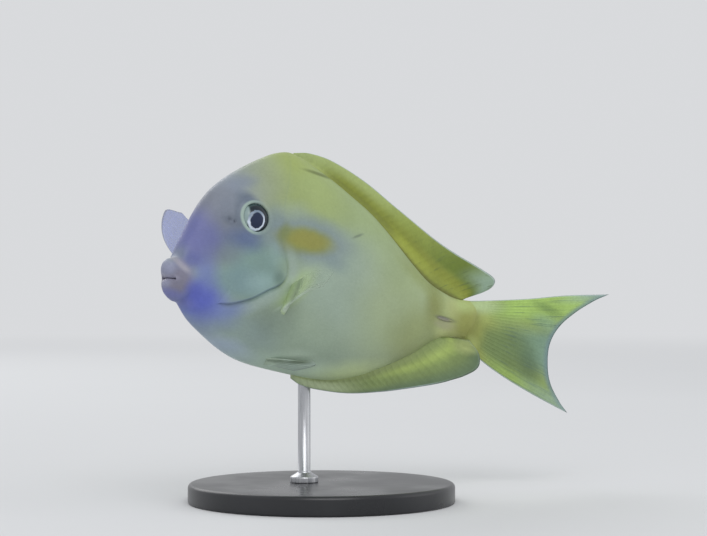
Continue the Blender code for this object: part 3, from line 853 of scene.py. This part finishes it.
SKIN_WASHES = [
    # the trunk from back to belly
    ((150, 168, 118), (44, 33), (34, 12), -24, 0.55, 0.9),
    ((154, 172, 158), (50, 7), (26, 13), -8, 0.6, 0.8),
    ((150, 168, 150), (34, -12), (30, 8), -3, 0.6, 0.85),
    ((160, 174, 130), (70, 5), (16, 14), 0, 0.6, 0.75),
    ((146, 156, 102), (80, 0), (12, 8), 0, 0.6, 0.7),
    ((166, 178, 118), (88.0, 9), (5.0, 6), 0, 0.6, 0.8),
    ((136, 143, 84), (82.2, 10.6), (3.3, 5.2), 0, 0.8, 0.9),
    # painted light: the stalk's lower part painted paler against the shade that the anal fin's lobe casts
    # there
    ((190, 198, 136), (91, 3.7), (5, 2.2), 0, 0.7, 0.85),
    ((152, 158, 88), (98, 8), (7, 14), 0, 0.5, 0.97),
    # nape and shoulder
    ((154, 170, 108), (31, 31), (14, 9), -20, 0.6, 0.9),
    ((149, 163, 106), (23.5, 28), (9, 6.5), -20, 0.7, 0.75),
    ((156, 170, 100), (27, 36), (9, 4), 20, 0.8, 0.8),
    # forehead, snout and cheek
    ((138, 145, 156), (10, 26), (13, 9), 50, 0.8, 0.95),
    ((123, 126, 136), (6, 18), (7.0, 9), 60, 0.7, 0.9),
    ((110, 114, 162), (3.2, 12.5), (4.0, 6.0), -20, 0.7, 0.9),
    ((107, 111, 162), (5.5, 9.8), (4.6, 5.6), 10, 0.6, 0.9),
    ((104, 112, 150), (9.5, 12.0), (4, 3), 0, 0.8, 0.4),
    ((112, 122, 138), (12.5, 19), (5.5, 5.5), 0, 0.6, 0.6),
    ((120, 147, 143), (19, 6), (8.0, 8), 20, 0.5, 0.9),
    ((120, 145, 148), (14.0, 2.2), (6.2, 4.2), 12, 0.6, 0.85),
    ((122, 138, 140), (22.8, 19.5), (2.6, 4.0), 0, 0.6, 0.7),
    ((150, 160, 160), (16.5, 26.6), (4, 3), 0, 0.8, 0.5),
    ((150, 161, 118), (19.5, 28.5), (4.5, 5), 0, 0.9, 0.5),
    ((136, 164, 164), (25.2, 12.4), (2.8, 3), 0, 0.8, 0.6),
    # throat and chin
    ((140, 158, 158), (20, -8.0), (11, 4), -20, 0.7, 0.7),
    # the next three are painted light: the throat's and belly's lower edge painted paler than the skin's
    # own colour, as if lit from below
    ((166, 182, 200), (17, -13.6), (14, 2.6), -14, 0.7, 0.85),
    ((204, 226, 206), (42, -16.0), (19, 3.4), 2, 0.8, 0.9),
    ((204, 222, 160), (61, -12.6), (13, 3.0), 12, 0.9, 0.85),
    ((122, 137, 178), (11.6, -5.4), (5.2, 3.2), -8, 0.9, 0.95),
    ((134, 149, 176), (9.6, -9.0), (3.4, 2.4), -30, 0.9, 0.7),
    ((118, 134, 182), (17.0, -4.0), (4.0, 1.5), 24, 0.8, 0.7),
    ((94, 105, 184), (8.0, -3.6), (4.2, 4.2), -10, 0.8, 0.9),
    ((88, 98, 186), (7.0, -3.0), (2.4, 3.0), -10, 0.8, 0.55),
    ((106, 118, 180), (7.0, 2.5), (2.8, 4.0), 0, 0.8, 0.7),
    # shadow round the eye
    ((96, 108, 126), (15.6, 22.7), (3.0, 1.6), -30, 0.7, 0.8),
    ((86, 100, 142), (15.6, 13.2), (4.8, 2.6), 8, 0.8, 0.8),
    ((100, 108, 120), (11.6, 17.0), (2.2, 1.3), -8, 0.8, 0.6),
    ((98, 110, 126), (13.2, 19.5), (1.2, 4.0), 0, 0.7, 0.5),
    # shoulder bar and its halo
    ((126, 142, 146), (33.0, 17.4), (14.2, 5.6), 2, 0.4, 0.85),
    ((130, 137, 96), (29.2, 13.9), (3.4, 1.5), 8, 0.8, 0.7),
    ((134, 141, 79), (32.4, 16.6), (8.6, 3.1), 4, 0.4, 0.95),
    ((144, 141, 69), (32.8, 16.6), (6.0, 2.1), 5, 0.5, 0.75),
    ((120, 131, 86), (25.4, 17.0), (1.3, 2.5), -16, 0.8, 0.8),
    # the yellow root of the pectoral
    ((170, 192, 136), (31.4, 4.2), (2.4, 5.6), -42, 0.9, 0.9),
    ((186, 204, 182), (29.6, -0.2), (2.8, 0.45), 44, 0.8, 0.7),
    # cheek, breast and nape, evened out
    ((110, 120, 136), (10.8, 8.4), (4.2, 2.4), 20, 0.8, 0.6),
    ((112, 128, 122), (25.8, -4.6), (6.5, 4.2), 0, 0.9, 0.6),
    ((150, 176, 176), (21.4, 3.0), (3.6, 2.6), 0, 0.9, 0.5),
    ((124, 144, 114), (28.2, 10.0), (2.8, 2.6), 0, 0.8, 0.5),
    ((92, 114, 108), (25.8, 5.6), (1.3, 1.5), 0, 0.8, 0.6),
    ((122, 132, 152), (14.2, 27.0), (3.6, 1.6), 30, 0.8, 0.6),
    ((156, 172, 158), (27.6, 23.2), (4.4, 2.0), 8, 0.9, 0.4),
    # flank behind the bar, the band along the dorsal's foot, the stalk's upper edge, and painted light
    # along the stalk's lower edge against the shade of its crease
    ((116, 134, 140), (42.8, 12.8), (3.4, 1.8), -6, 0.9, 0.5),
    ((150, 168, 112), (66.0, 15.6), (9.0, 5.0), -20, 0.9, 0.3),
    ((136, 148, 84), (75.6, 16.1), (8.5, 2.4), -21, 1.0, 0.65),
    ((172, 190, 124), (94.0, 12.2), (3.6, 1.9), 8, 0.8, 0.8),
    ((176, 184, 130), (92.5, 3.4), (4.5, 1.3), 0, 0.8, 0.6),
]
LIP_WASHES = [
    ((126, 130, 158), (1.0, 0.4), (3.7, 5.4), 0, 0.35, 0.95),
    ((123, 121, 137), (1.1, -0.1), (2.6, 3.4), 0, 0.5, 0.95),
    # painted highlight along the upper lip's edge
    ((164, 161, 170), (1.3, 3.9), (2.3, 1.0), -38, 0.6, 0.75),
    # the pale front of the lips, partly painted light: paler than its own colour against the shade on it
    ((149, 152, 175), (-1.9, 0.5), (1.3, 4.8), 0, 0.6, 0.9),
    ((112, 116, 172), (1.4, -4.0), (4.6, 1.3), -12, 0.7, 0.75),
    ((96, 102, 160), (3.4, 5.6), (2.0, 1.7), 0, 0.7, 0.7),
    ((86, 94, 176), (5.0, -1.8), (1.9, 2.4), 0, 0.8, 0.75),
    # painted light in the mouth's slit, paler than its own colour, against the slit's shade
    ((160, 159, 178), (-1.0, 0.4), (1.5, 0.6), 0, 0.8, 0.6),
]
SMALL_MARKS_AND_SHADING = [
    ((104, 118, 100), (49.7, 21.6), (2.0, 0.3), 26, 0.7, 0.7),
    ((102, 110, 126), (11.0, 16.8), (1.5, 0.7), -12, 0.8, 0.5),
    ((84, 90, 104), (10.9, 17.2), (0.42, 0.3), 0, 0.7, 0.3),
    ((84, 90, 104), (12.2, 16.9), (0.3, 0.24), 0, 0.7, 0.3),
    ((106, 118, 66), (37.2, 34.75), (5.4, 0.5), 2, 0.6, 0.9),
    ((182, 200, 182), (38.8, -11.3), (4.4, 1.3), 4, 0.8, 0.5),
    # painted highlight on the stalk above the blade's rear
    ((176, 182, 120), (90.0, 10.4), (2.6, 3.0), 10, 0.6, 0.4),
    ((162, 158, 134), (88.0, 5.9), (4.2, 1.2), 0, 0.6, 0.5),
    # painted shade in the blade's slot
    ((112, 112, 100), (87.4, 7.4), (3.9, 0.62), 0, 0.5, 0.75),
    ((138, 142, 78), (96.8, 5.4), (4.6, 4.4), 0, 0.9, 0.7),
]


def finish_skin():
    wire, made = new_material("tang skin")
    fish = wire.attribute("in_fish")
    from_gill = wire.parts(wire.attribute("on_piece"))[0]
    s, _, z = wire.parts(fish)
    drift = wire.vector("SUBTRACT", wire.noise(fish, 0.16)["Color"], (0.5, 0.5, 0.5))
    stirred = wire.vector("ADD", fish, wire.vector("MULTIPLY", drift, (1.6, 0, 1.6)))
    laid = wire.lay(
        washed(wire, stirred, colour(150, 166, 138), SKIN_WASHES),
        # a pale band behind the gill opening, and painted shade in the opening's cleft
        ((160, 176, 168), wire.band(from_gill, 0.5, 1.6, 2.2, 5.0), (z, 10.0, 16.0, 1.0, 0.0),
         (s, 15.0, 22.0, 0.0, 0.6)),
        ((78, 98, 134), wire.band(from_gill, -0.25, 0.05, 0.2, 0.7), (z, 2.0, 11.0, 0.5, 0.05),
         (s, 9.5, 15.5)))
    laid = washed(wire, fish, laid, LIP_WASHES)

    # pale rim of the eye, brighter ahead of it
    eye_at = wire.vector("SUBTRACT", fish, (EYE_S, 0, EYE_Z))
    from_eye = wire.vector("LENGTH", wire.vector("MULTIPLY", eye_at, (1, 0, 1)))
    laid = wire.lay(laid, ((156, 176, 166), wire.band(from_eye, 3.1, 3.5, 4.0, 4.5),
                           (wire.parts(eye_at)[0], -2.5, 3.0, 0.95, 0.12)))
    laid = washed(wire, fish, laid, SMALL_MARKS_AND_SHADING)

    laid = wire.use(MOTTLE, At=fish, Color=laid, Amount=0.04, Grain=0.03)["Color"]
    scales = wire.use(SCALES, At=fish, Size=0.42)
    speckle = wire.rise(scales["Speckle"], 0.0, 1.0, 0.975, 1.025, soft=False)
    raised = wire.times(scales["Height"], wire.rise(s, 8.0, 26.0, 0.25, 1.0))
    wire.shade(Base_Color=wire.scaled(laid, speckle), Normal=wire.bump(raised, 0.22, 0.00008),
               Roughness=wire.rise(wire.noise(fish, 0.7)["Fac"], 0.3, 0.7, 0.42, 0.54),
               Specular_IOR_Level=WET_SPECULAR, Coat_Weight=0.05, Coat_Roughness=0.25)
    return made


def finish_eye():
    wire, made = new_material("tang eye")
    at = wire.attribute("on_piece")
    from_pupil = wire.vector("SUBTRACT", at, PUPIL_AT)
    back, up, _ = wire.parts(from_pupil)
    r = wire.vector("LENGTH", wire.vector("MULTIPLY", from_pupil, PUPIL_SHAPE))
    r = wire.math("ADD", r, wire.rise(wire.noise(at, 1.2, 2.0)["Fac"], 0.3, 0.7, -0.08, 0.08))
    forward = wire.times(wire.parts(at)[0], -1.0)
    dark = wire.lay((22, 34, 42), ((60, 80, 80), (wire.vector("LENGTH", at), 2.9, 3.5)),
                    ((152, 172, 170), (forward, 2.2, 2.7, 0.0, 0.85)))
    rear_top = wire.math("SUBTRACT", up, wire.times(back, 0.4))
    white = wire.lay((216, 226, 240), ((150, 168, 190), (wire.noise(at, 6.0)["Fac"], 0.35, 0.7, 0.0, 0.35)),
                     ((98, 116, 136), (rear_top, -0.3, 1.9, 0.0, 0.85)))
    laid = wire.lay(wire.mix(wire.band(r, 1.68, 1.92, 2.26, 2.5), dark, white),
                    ((34, 44, 70), (r, 1.62, 1.84, 1.0, 0.0)))
    wire.shade(Base_Color=laid, Roughness=0.22, Specular_IOR_Level=WET_SPECULAR, Coat_Weight=0.16,
               Coat_Roughness=0.03)
    return made


def broken_lines(wire, ray, out, across):
    """Broken lines that run out along the rays."""
    at = wire.joined(wire.times(ray, across), wire.times(out, 3.0))
    return wire.rise(wire.noise(at, 1.0)["Fac"], 0.5, 0.64)


def finish_fin(name, paint, mottling=0.07, roughness=0.48):
    """What the fins share: ray lines, mottling and the fine cross joints of the soft rays. paint
    gives the colour from the place on the fish and on the fin."""
    wire, made = new_material(name)
    fish = wire.attribute("in_fish")
    ray, out, share = wire.parts(wire.attribute("on_piece"))
    from_middle = wire.math("ABSOLUTE", wire.math("SUBTRACT", wire.math("FRACT", ray), 0.5))
    branch = wire.rise(out, 0.35, 0.75, 0.0, 0.17)
    from_ray = wire.math("ABSOLUTE", wire.math("SUBTRACT", from_middle, branch))
    on_ray = wire.rise(from_ray, 0.04, 0.16, 1.0, 0.0)
    laid = paint(wire, fish, ray, out, share, on_ray)
    laid = wire.use(MOTTLE, At=fish, Color=laid, Amount=mottling, Grain=0.08)["Color"]
    waves = wire.give(wire.node("ShaderNodeTexWave", wave_type="BANDS", bands_direction="Y"),
                      Vector=wire.joined(y=wire.times(out, 18.0)))
    height = wire.math("ADD", wire.noise(fish, 1.6)["Fac"], wire.times(waves["Fac"], on_ray, 0.08))
    wire.shade(Base_Color=laid, Roughness=roughness, Specular_IOR_Level=WET_SPECULAR,
               Normal=wire.bump(height, 0.3, 0.0001))
    return made


def paint_dorsal(wire, fish, ray, out, share, on_ray):
    outer = wire.lay((162, 177, 110), ((144, 158, 74), (share, 0.3, 0.6)))
    inner = wire.lay((154, 168, 98), ((132, 141, 58), (share, 0.1, 0.28)))
    reach = wire.math("ADD", out, wire.rise(share, 0.8, 0.95, 0.0, 0.1))
    return wire.lay(
        wire.mix(wire.rise(out, 0.4, 0.84), inner, outer),
        ((166, 181, 120), (share, 0.02, 0.2, 0.9, 0.0)),
        # olive outer rear, yellow along its foot and a darker trough ahead of that
        ((98, 117, 44), (reach, 0.44, 0.64), (share, 0.56, 0.82), 0.9),
        ((158, 168, 66), wire.band(out, 0.02, 0.1, 0.3, 0.46), (share, 0.4, 0.6, 0.0, 0.8),
         (share, 0.66, 0.84, 1.0, 0.1)),
        ((118, 134, 66), (out, 0.08, 0.3, 0.3, 0.0), (share, 0.7, 0.88)),
        ((106, 114, 42), wire.band(out, 0.08, 0.18, 0.28, 0.44),
         wire.band(share, 0.12, 0.25, 0.5, 0.62), 0.6),
        # pale tip, broken dark lines, groove of the foot and pale edge
        ((148, 172, 156), (out, 0.45, 0.8), (share, 0.8, 0.93), 0.8),
        ((84, 100, 62), broken_lines(wire, ray, out, 0.8), on_ray, (share, 0.5, 0.9, 0.06, 0.5)),
        ((98, 102, 50), (out, 0.04, 0.16, 0.9, 0.0), (share, 0.04, 0.14)),
        ((176, 192, 186), (out, 0.955, 0.985), 0.85))


# painted light: the anal fin's rear top painted paler against the shade of the crease under the tail's root
ANAL_CREASE_LIGHT = [((184, 196, 128), (96.4, 1.7), (3.0, 1.8), 0, 0.8, 0.8)]


def paint_anal(wire, fish, ray, out, share, on_ray):
    laid = wire.lay(
        (174, 188, 150), ((126, 144, 90), (share, 0.15, 0.5)),
        ((150, 164, 110), (out, 0.08, 0.34, 1.0, 0.0), (share, 0.7, 0.95, 0.7, 0.0)),
        ((162, 182, 98), wire.band(out, 0.1, 0.4, 0.3, 0.62), (share, 0.45, 0.75)),
        ((100, 120, 94), (out, 0.65, 0.95), (share, 0.2, 0.6, 0.25, 0.85)),
        ((178, 194, 126), (out, 0.2, 0.55, 0.3, 0.0)),
        ((84, 104, 78), (out, 0.55, 0.8), (share, 0.45, 0.7, 0.0, 0.3)))
    return wire.lay(
        washed(wire, fish, laid, ANAL_CREASE_LIGHT), ((84, 100, 62), on_ray, 0.1),
        ((164, 182, 180), (out, 0.94, 0.98), (share, 0.72, 0.88, 0.85, 0.15)))


TAIL_WASHES = [
    ((176, 198, 150), (100.5, 13.6), (5.5, 1.9), 8, 0.8, 0.75),
    # painted light in the crease between the tail's root and the anal fin, against its shade
    ((176, 188, 116), (98.0, 2.6), (2.4, 1.8), 0, 0.8, 0.8),
    ((158, 180, 112), (112.5, 10.4), (5.5, 2.0), -3, 0.9, 0.45),
    ((136, 168, 142), (120.6, 12.8), (4.0, 1.8), -8, 0.8, 0.55),
    ((84, 106, 82), (117.0, 0.8), (2.6, 4.6), 28, 0.9, 0.6),
    ((112, 140, 84), (120.2, 16.6), (4.2, 1.1), -12, 0.8, 0.6),
]


def paint_tail(wire, fish, ray, out, share, on_ray):
    # tan where it joins the stalk, yellow-green lobes, a grey-green middle
    root = wire.lay((160, 173, 100), ((147, 156, 84), (share, 0.3, 0.6)))
    off_stalk = wire.math("MAXIMUM", wire.rise(out, 0.02, 0.24), wire.rise(share, 0.14, 0.34, 1.0, 0.0))
    laid = wire.lay(
        wire.mix(off_stalk, colour(138, 143, 78), root),
        ((134, 154, 94), (out, 0.2, 0.5)),
        ((163, 194, 105), (share, 0.2, 0.42, 1.0, 0.0), (out, 0.18, 0.5)),
        ((150, 176, 97), (share, 0.78, 0.92), (out, 0.25, 0.6)))
    middle = wire.lay((106, 126, 80), ((119, 148, 128), (out, 0.45, 0.8)))
    in_middle = wire.times(wire.band(share, 0.32, 0.48, 0.62, 0.8), wire.rise(out, 0.35, 0.65), 0.9)
    laid = wire.lay(
        wire.mix(in_middle, laid, middle),
        ((108, 128, 82), wire.band(share, 0.4, 0.62, 0.8, 0.95), (out, 0.15, 0.35),
         (out, 0.65, 0.95, 0.8, 0.0)))
    # broken lines, the rear edge, the lobes' pale tips and the thin pale margins
    low_tip = wire.times(wire.rise(share, 0.8, 0.95), wire.rise(out, 0.6, 0.95, 0.0, 0.8))
    high_tip = wire.times(wire.rise(share, 0.0, 0.14, 1.0, 0.0), wire.rise(out, 0.7, 0.95))
    rear = wire.math("MAXIMUM", wire.rise(out, 0.8, 1.0, 0.0, 0.1), wire.math("MAXIMUM", low_tip, high_tip))
    from_edge = wire.math("MINIMUM", share, wire.math("SUBTRACT", 1.0, share))
    return wire.lay(
        washed(wire, fish, laid, TAIL_WASHES),
        ((86, 108, 96), broken_lines(wire, ray, out, 0.9), on_ray, (out, 0.4, 0.6), 0.55),
        ((112, 136, 138), (out, 0.93, 0.99, 0.0, 0.8)),
        ((146, 168, 168), rear, 0.7),
        ((172, 188, 186), (from_edge, 0.004, 0.02, 1.0, 0.0), 0.8))


# painted shadow under the upper edge of the folded pelvic fins
PELVIC_EDGE_SHADOWS = [
    ((122, 138, 120), (32.6, -13.75), (2.6, 0.55), 4, 0.7, 0.85),
    ((116, 132, 112), (38.6, -12.9), (3.4, 0.62), 11, 0.7, 0.95),
]


def finish_clear_fin(name, root, web, edge, root_to, see_through, edge_shadows=()):
    """A fin that is full at its root and see-through beyond root_to, with a pale lower edge and any painted
    shadows of edge_shadows laid over it.
    """
    def paint(wire, fish, ray, out, share, on_ray):
        lower = wire.times(wire.rise(share, 0.74, 0.92), wire.rise(out, 0.0, 0.16))
        free = wire.times(wire.rise(out, 0.94, 0.985), wire.rise(share, 0.35, 0.8))
        margin = wire.math("MAXIMUM", lower, free)
        alpha = wire.rise(out, 0.1, root_to, 1.0, see_through)
        full_ray = wire.rise(out, 0.3, 1.0, min(see_through + 0.2, 1.0), see_through)
        full_edge = wire.rise(out, 0.6, 1.0, 0.7, min(see_through + 0.15, 1.0))
        for full in (wire.times(on_ray, full_ray), wire.times(margin, full_edge)):
            alpha = wire.math("MAXIMUM", alpha, full)
        wire.shade(Alpha=alpha)
        laid = wire.lay(root, (web, (out, 0.0, root_to)), (edge, on_ray, 0.25), (edge, margin))
        return washed(wire, fish, laid, edge_shadows)
    return finish_fin(name, paint, 0.06, 0.38)


def finish_blade():
    wire, made = new_material("tail blade horn")
    t, high, _ = wire.parts(wire.attribute("on_piece"))
    laid = wire.lay((164, 162, 138), ((118, 118, 104), (high, -0.25, 0.1)),
                    ((156, 162, 100), (t, 0.55, 1.0)))
    laid = wire.use(MOTTLE, At=wire.attribute("in_fish"), Color=laid, Amount=0.05, Grain=0.06)["Color"]
    wire.shade(Base_Color=laid, Roughness=0.35)
    return made


def object_place(wire):
    return wire.node("ShaderNodeTexCoord").outputs["Object"]


def finish_base():
    wire, made = new_material("satin black acrylic")
    at = object_place(wire)
    broad = wire.noise(at, 60.0)["Fac"]
    wire.shade(Base_Color=wire.lay((30, 31, 34), ((38, 39, 42), (broad, 0.3, 0.7))),
               Roughness=wire.rise(broad, 0.3, 0.7, 0.26, 0.36),
               Normal=wire.bump(wire.noise(at, 900.0, 2.0)["Fac"], 0.08, 0.0001))
    return made


def finish_rod():
    wire, made = new_material("brushed steel rod")
    at = wire.vector("MULTIPLY", object_place(wire), (4000.0, 4000.0, 90.0))
    brushed = wire.noise(at, 1.0)["Fac"]
    wire.shade(Base_Color=wire.lay((168, 170, 174), ((196, 197, 200), (brushed, 0.3, 0.7))),
               Metallic=1.0, Roughness=wire.rise(brushed, 0.3, 0.7, 0.26, 0.4))
    return made


def finish_floor():
    """Pale paint near the model, which gives way to the sky's own light far from it."""
    wire, made = new_material("pale floor")
    at = object_place(wire)
    paint = wire.lay((212, 213, 214), ((216, 217, 218), wire.noise(at, 3.0)["Fac"]))
    far = wire.rise(wire.vector("LENGTH", at), *FLOOR_FADE)
    black = (0, 0, 0, 1)
    wire.shade(Base_Color=wire.mix(far, paint, black), Emission_Color=wire.mix(far, black, (*SKY, 1)),
               Emission_Strength=SKY_STRENGTH, Roughness=0.7, Specular_IOR_Level=0.0)
    return made


# The fish

skin_finish = finish_skin()
skin = closed_object("skin", skin_surface(), skin_finish)
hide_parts("head", "trunk", "tail_stalk", "lips")
eye_finish = finish_eye()
blade_finish = finish_blade()
# the near pectoral is painted paler than its own colour, partly painted light to make up for the shade on
# it
near_fin = finish_clear_fin("near pectoral fin", (168, 190, 138), (190, 208, 180), (200, 216, 196),
                            0.45, 0.05)
far_fin = finish_clear_fin("far pectoral fin", (156, 172, 120), (128, 142, 200), (160, 172, 216),
                           0.5, 0.45)
# painted light: the pelvic fins are painted paler than their own colour, to make up for the shade on their
# downward faces
belly_fin = finish_clear_fin("pelvic fin", (168, 186, 166), (176, 194, 180), (186, 204, 190),
                             0.5, 0.85, PELVIC_EDGE_SHADOWS)
for side, sign in SIDES.items():
    cover = closed_object(f"gill_cover_{side}", gill_cover(sign), skin_finish)
    rim = closed_object(f"eye_rim_{side}", eye_rim(sign), skin_finish)
    eye = closed_object(f"eyeball_{side}", eyeball(sign), eye_finish)
    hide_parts(f"eye_{side}")
    blade = closed_object(f"blade_{side}", blade_shape(sign), blade_finish)
    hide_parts(f"tail_blade_{side}")
    fin = closed_object(f"pectoral_{side}", pectoral_sheet(sign, PECTORAL_TIPS[side], PECTORAL_BOWS[side]),
                        near_fin if side == "left" else far_fin)
    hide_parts(f"pectoral_fin_{side}")
    fin = closed_object(f"pelvic_{side}", pelvic_sheet(sign), belly_fin)
    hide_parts(f"pelvic_fin_{side}")

dorsal_shape = long_fin(DORSAL_BASE, DORSAL_EDGE, DORSAL_LAG, back_z, FIN_SINK, DORSAL_GRID)
dorsal = closed_object("dorsal", dorsal_shape, finish_fin("dorsal fin membrane", paint_dorsal))
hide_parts("dorsal_fin")
anal_shape = long_fin(ANAL_BASE, ANAL_EDGE, ANAL_LAG, breast_z, -FIN_SINK, ANAL_GRID)
anal = closed_object("anal", anal_shape, finish_fin("anal fin membrane", paint_anal))
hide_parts("anal_fin")
tail = closed_object("tail", tail_sheet(), finish_fin("tail fin membrane", paint_tail, roughness=0.46))
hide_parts("tail_fin_upper", "tail_fin_lower")

# The stand

rod_x = place((ROD_S, 0, breast_z(ROD_S))).x / MM
base_profile = [(0, FOOT_RISE), (1.2, FOOT_RISE), (30.5, FOOT_RISE), (31.2, 0)]
base_profile += arc((BASE_RADIUS - BASE_LOW_ROUND, BASE_LOW_ROUND), BASE_LOW_ROUND, -90, 0, 6)
base_profile += arc((BASE_RADIUS - BASE_TOP_ROUND, BASE_THICK - BASE_TOP_ROUND), BASE_TOP_ROUND, 0, 90, 10)
base_profile += [(20, BASE_THICK), (0, BASE_THICK)]
base = closed_object("base_disc", turned(base_profile, (0, 0, 0), 160), finish_base())
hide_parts("stand_base")
foot = BASE_THICK
rod_profile = [(0, foot), (FERRULE_RADIUS, foot), (FERRULE_RADIUS, foot + 0.25)]
rod_profile += arc((FERRULE_RADIUS - 0.5, foot + 1.2), 0.5, 0, 60, 5)
rod_profile += arc((ROD_RADIUS + 1.0, foot + FERRULE_HEIGHT + 0.1), 0.9, 240, 180, 6)
rod_profile += [(ROD_RADIUS, foot + FERRULE_HEIGHT + 0.15), (ROD_RADIUS, 30), (ROD_RADIUS, ROD_TOP),
                (0, ROD_TOP)]
rod = closed_object("rod", turned(rod_profile, (rod_x, ROD_Y, 0), 64), finish_rod())
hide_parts("stand_rod")

# Floor, light and camera

floor_shape = turned([(0, 0), (400, 0), (2000, 0), (9000, 0)], (0, 0, 0), 96)
bmesh.ops.recalc_face_normals(floor_shape, faces=floor_shape.faces)
bmesh.ops.reverse_faces(floor_shape, faces=floor_shape.faces)
floor = finished("floor", floor_shape, finish_floor())


def soft_light(name, place_at, power):
    lamp = bpy.data.lights.new(name, "AREA")
    lamp.shape = "DISK"
    lamp.size = LIGHT_SIZE
    lamp.energy = power
    made = linked(name, lamp)
    made.location = place_at
    made.rotation_euler = (Vector(LIGHTS_AIM) - Vector(place_at)).to_track_quat("-Z", "Y").to_euler()


soft_light("key", (-0.45, -0.75, 0.9), 4.5)
soft_light("fill", (0.8, -0.6, 0.4), 1.0)
soft_light("rear", (0.1, 0.9, 0.7), 3.0)

world = bpy.data.worlds.new("studio")
world.use_nodes = True
world.node_tree.nodes["Background"].inputs["Color"].default_value = (*SKY, 1)
world.node_tree.nodes["Background"].inputs["Strength"].default_value = SKY_STRENGTH
bpy.context.scene.world = world
bpy.context.scene.view_settings.view_transform = "Standard"

camera_data = bpy.data.cameras.new("camera")
camera_data.lens = 108.55
camera_data.sensor_width = 36
camera_data.clip_start = 0.01
camera = linked("camera", camera_data)
camera.location = VIEW_CENTRE + Vector((math.sin(VIEW_TURN), -math.cos(VIEW_TURN), 0)) * VIEW_DISTANCE
camera.rotation_euler = (math.radians(90), 0, VIEW_TURN)
bpy.context.scene.camera = camera
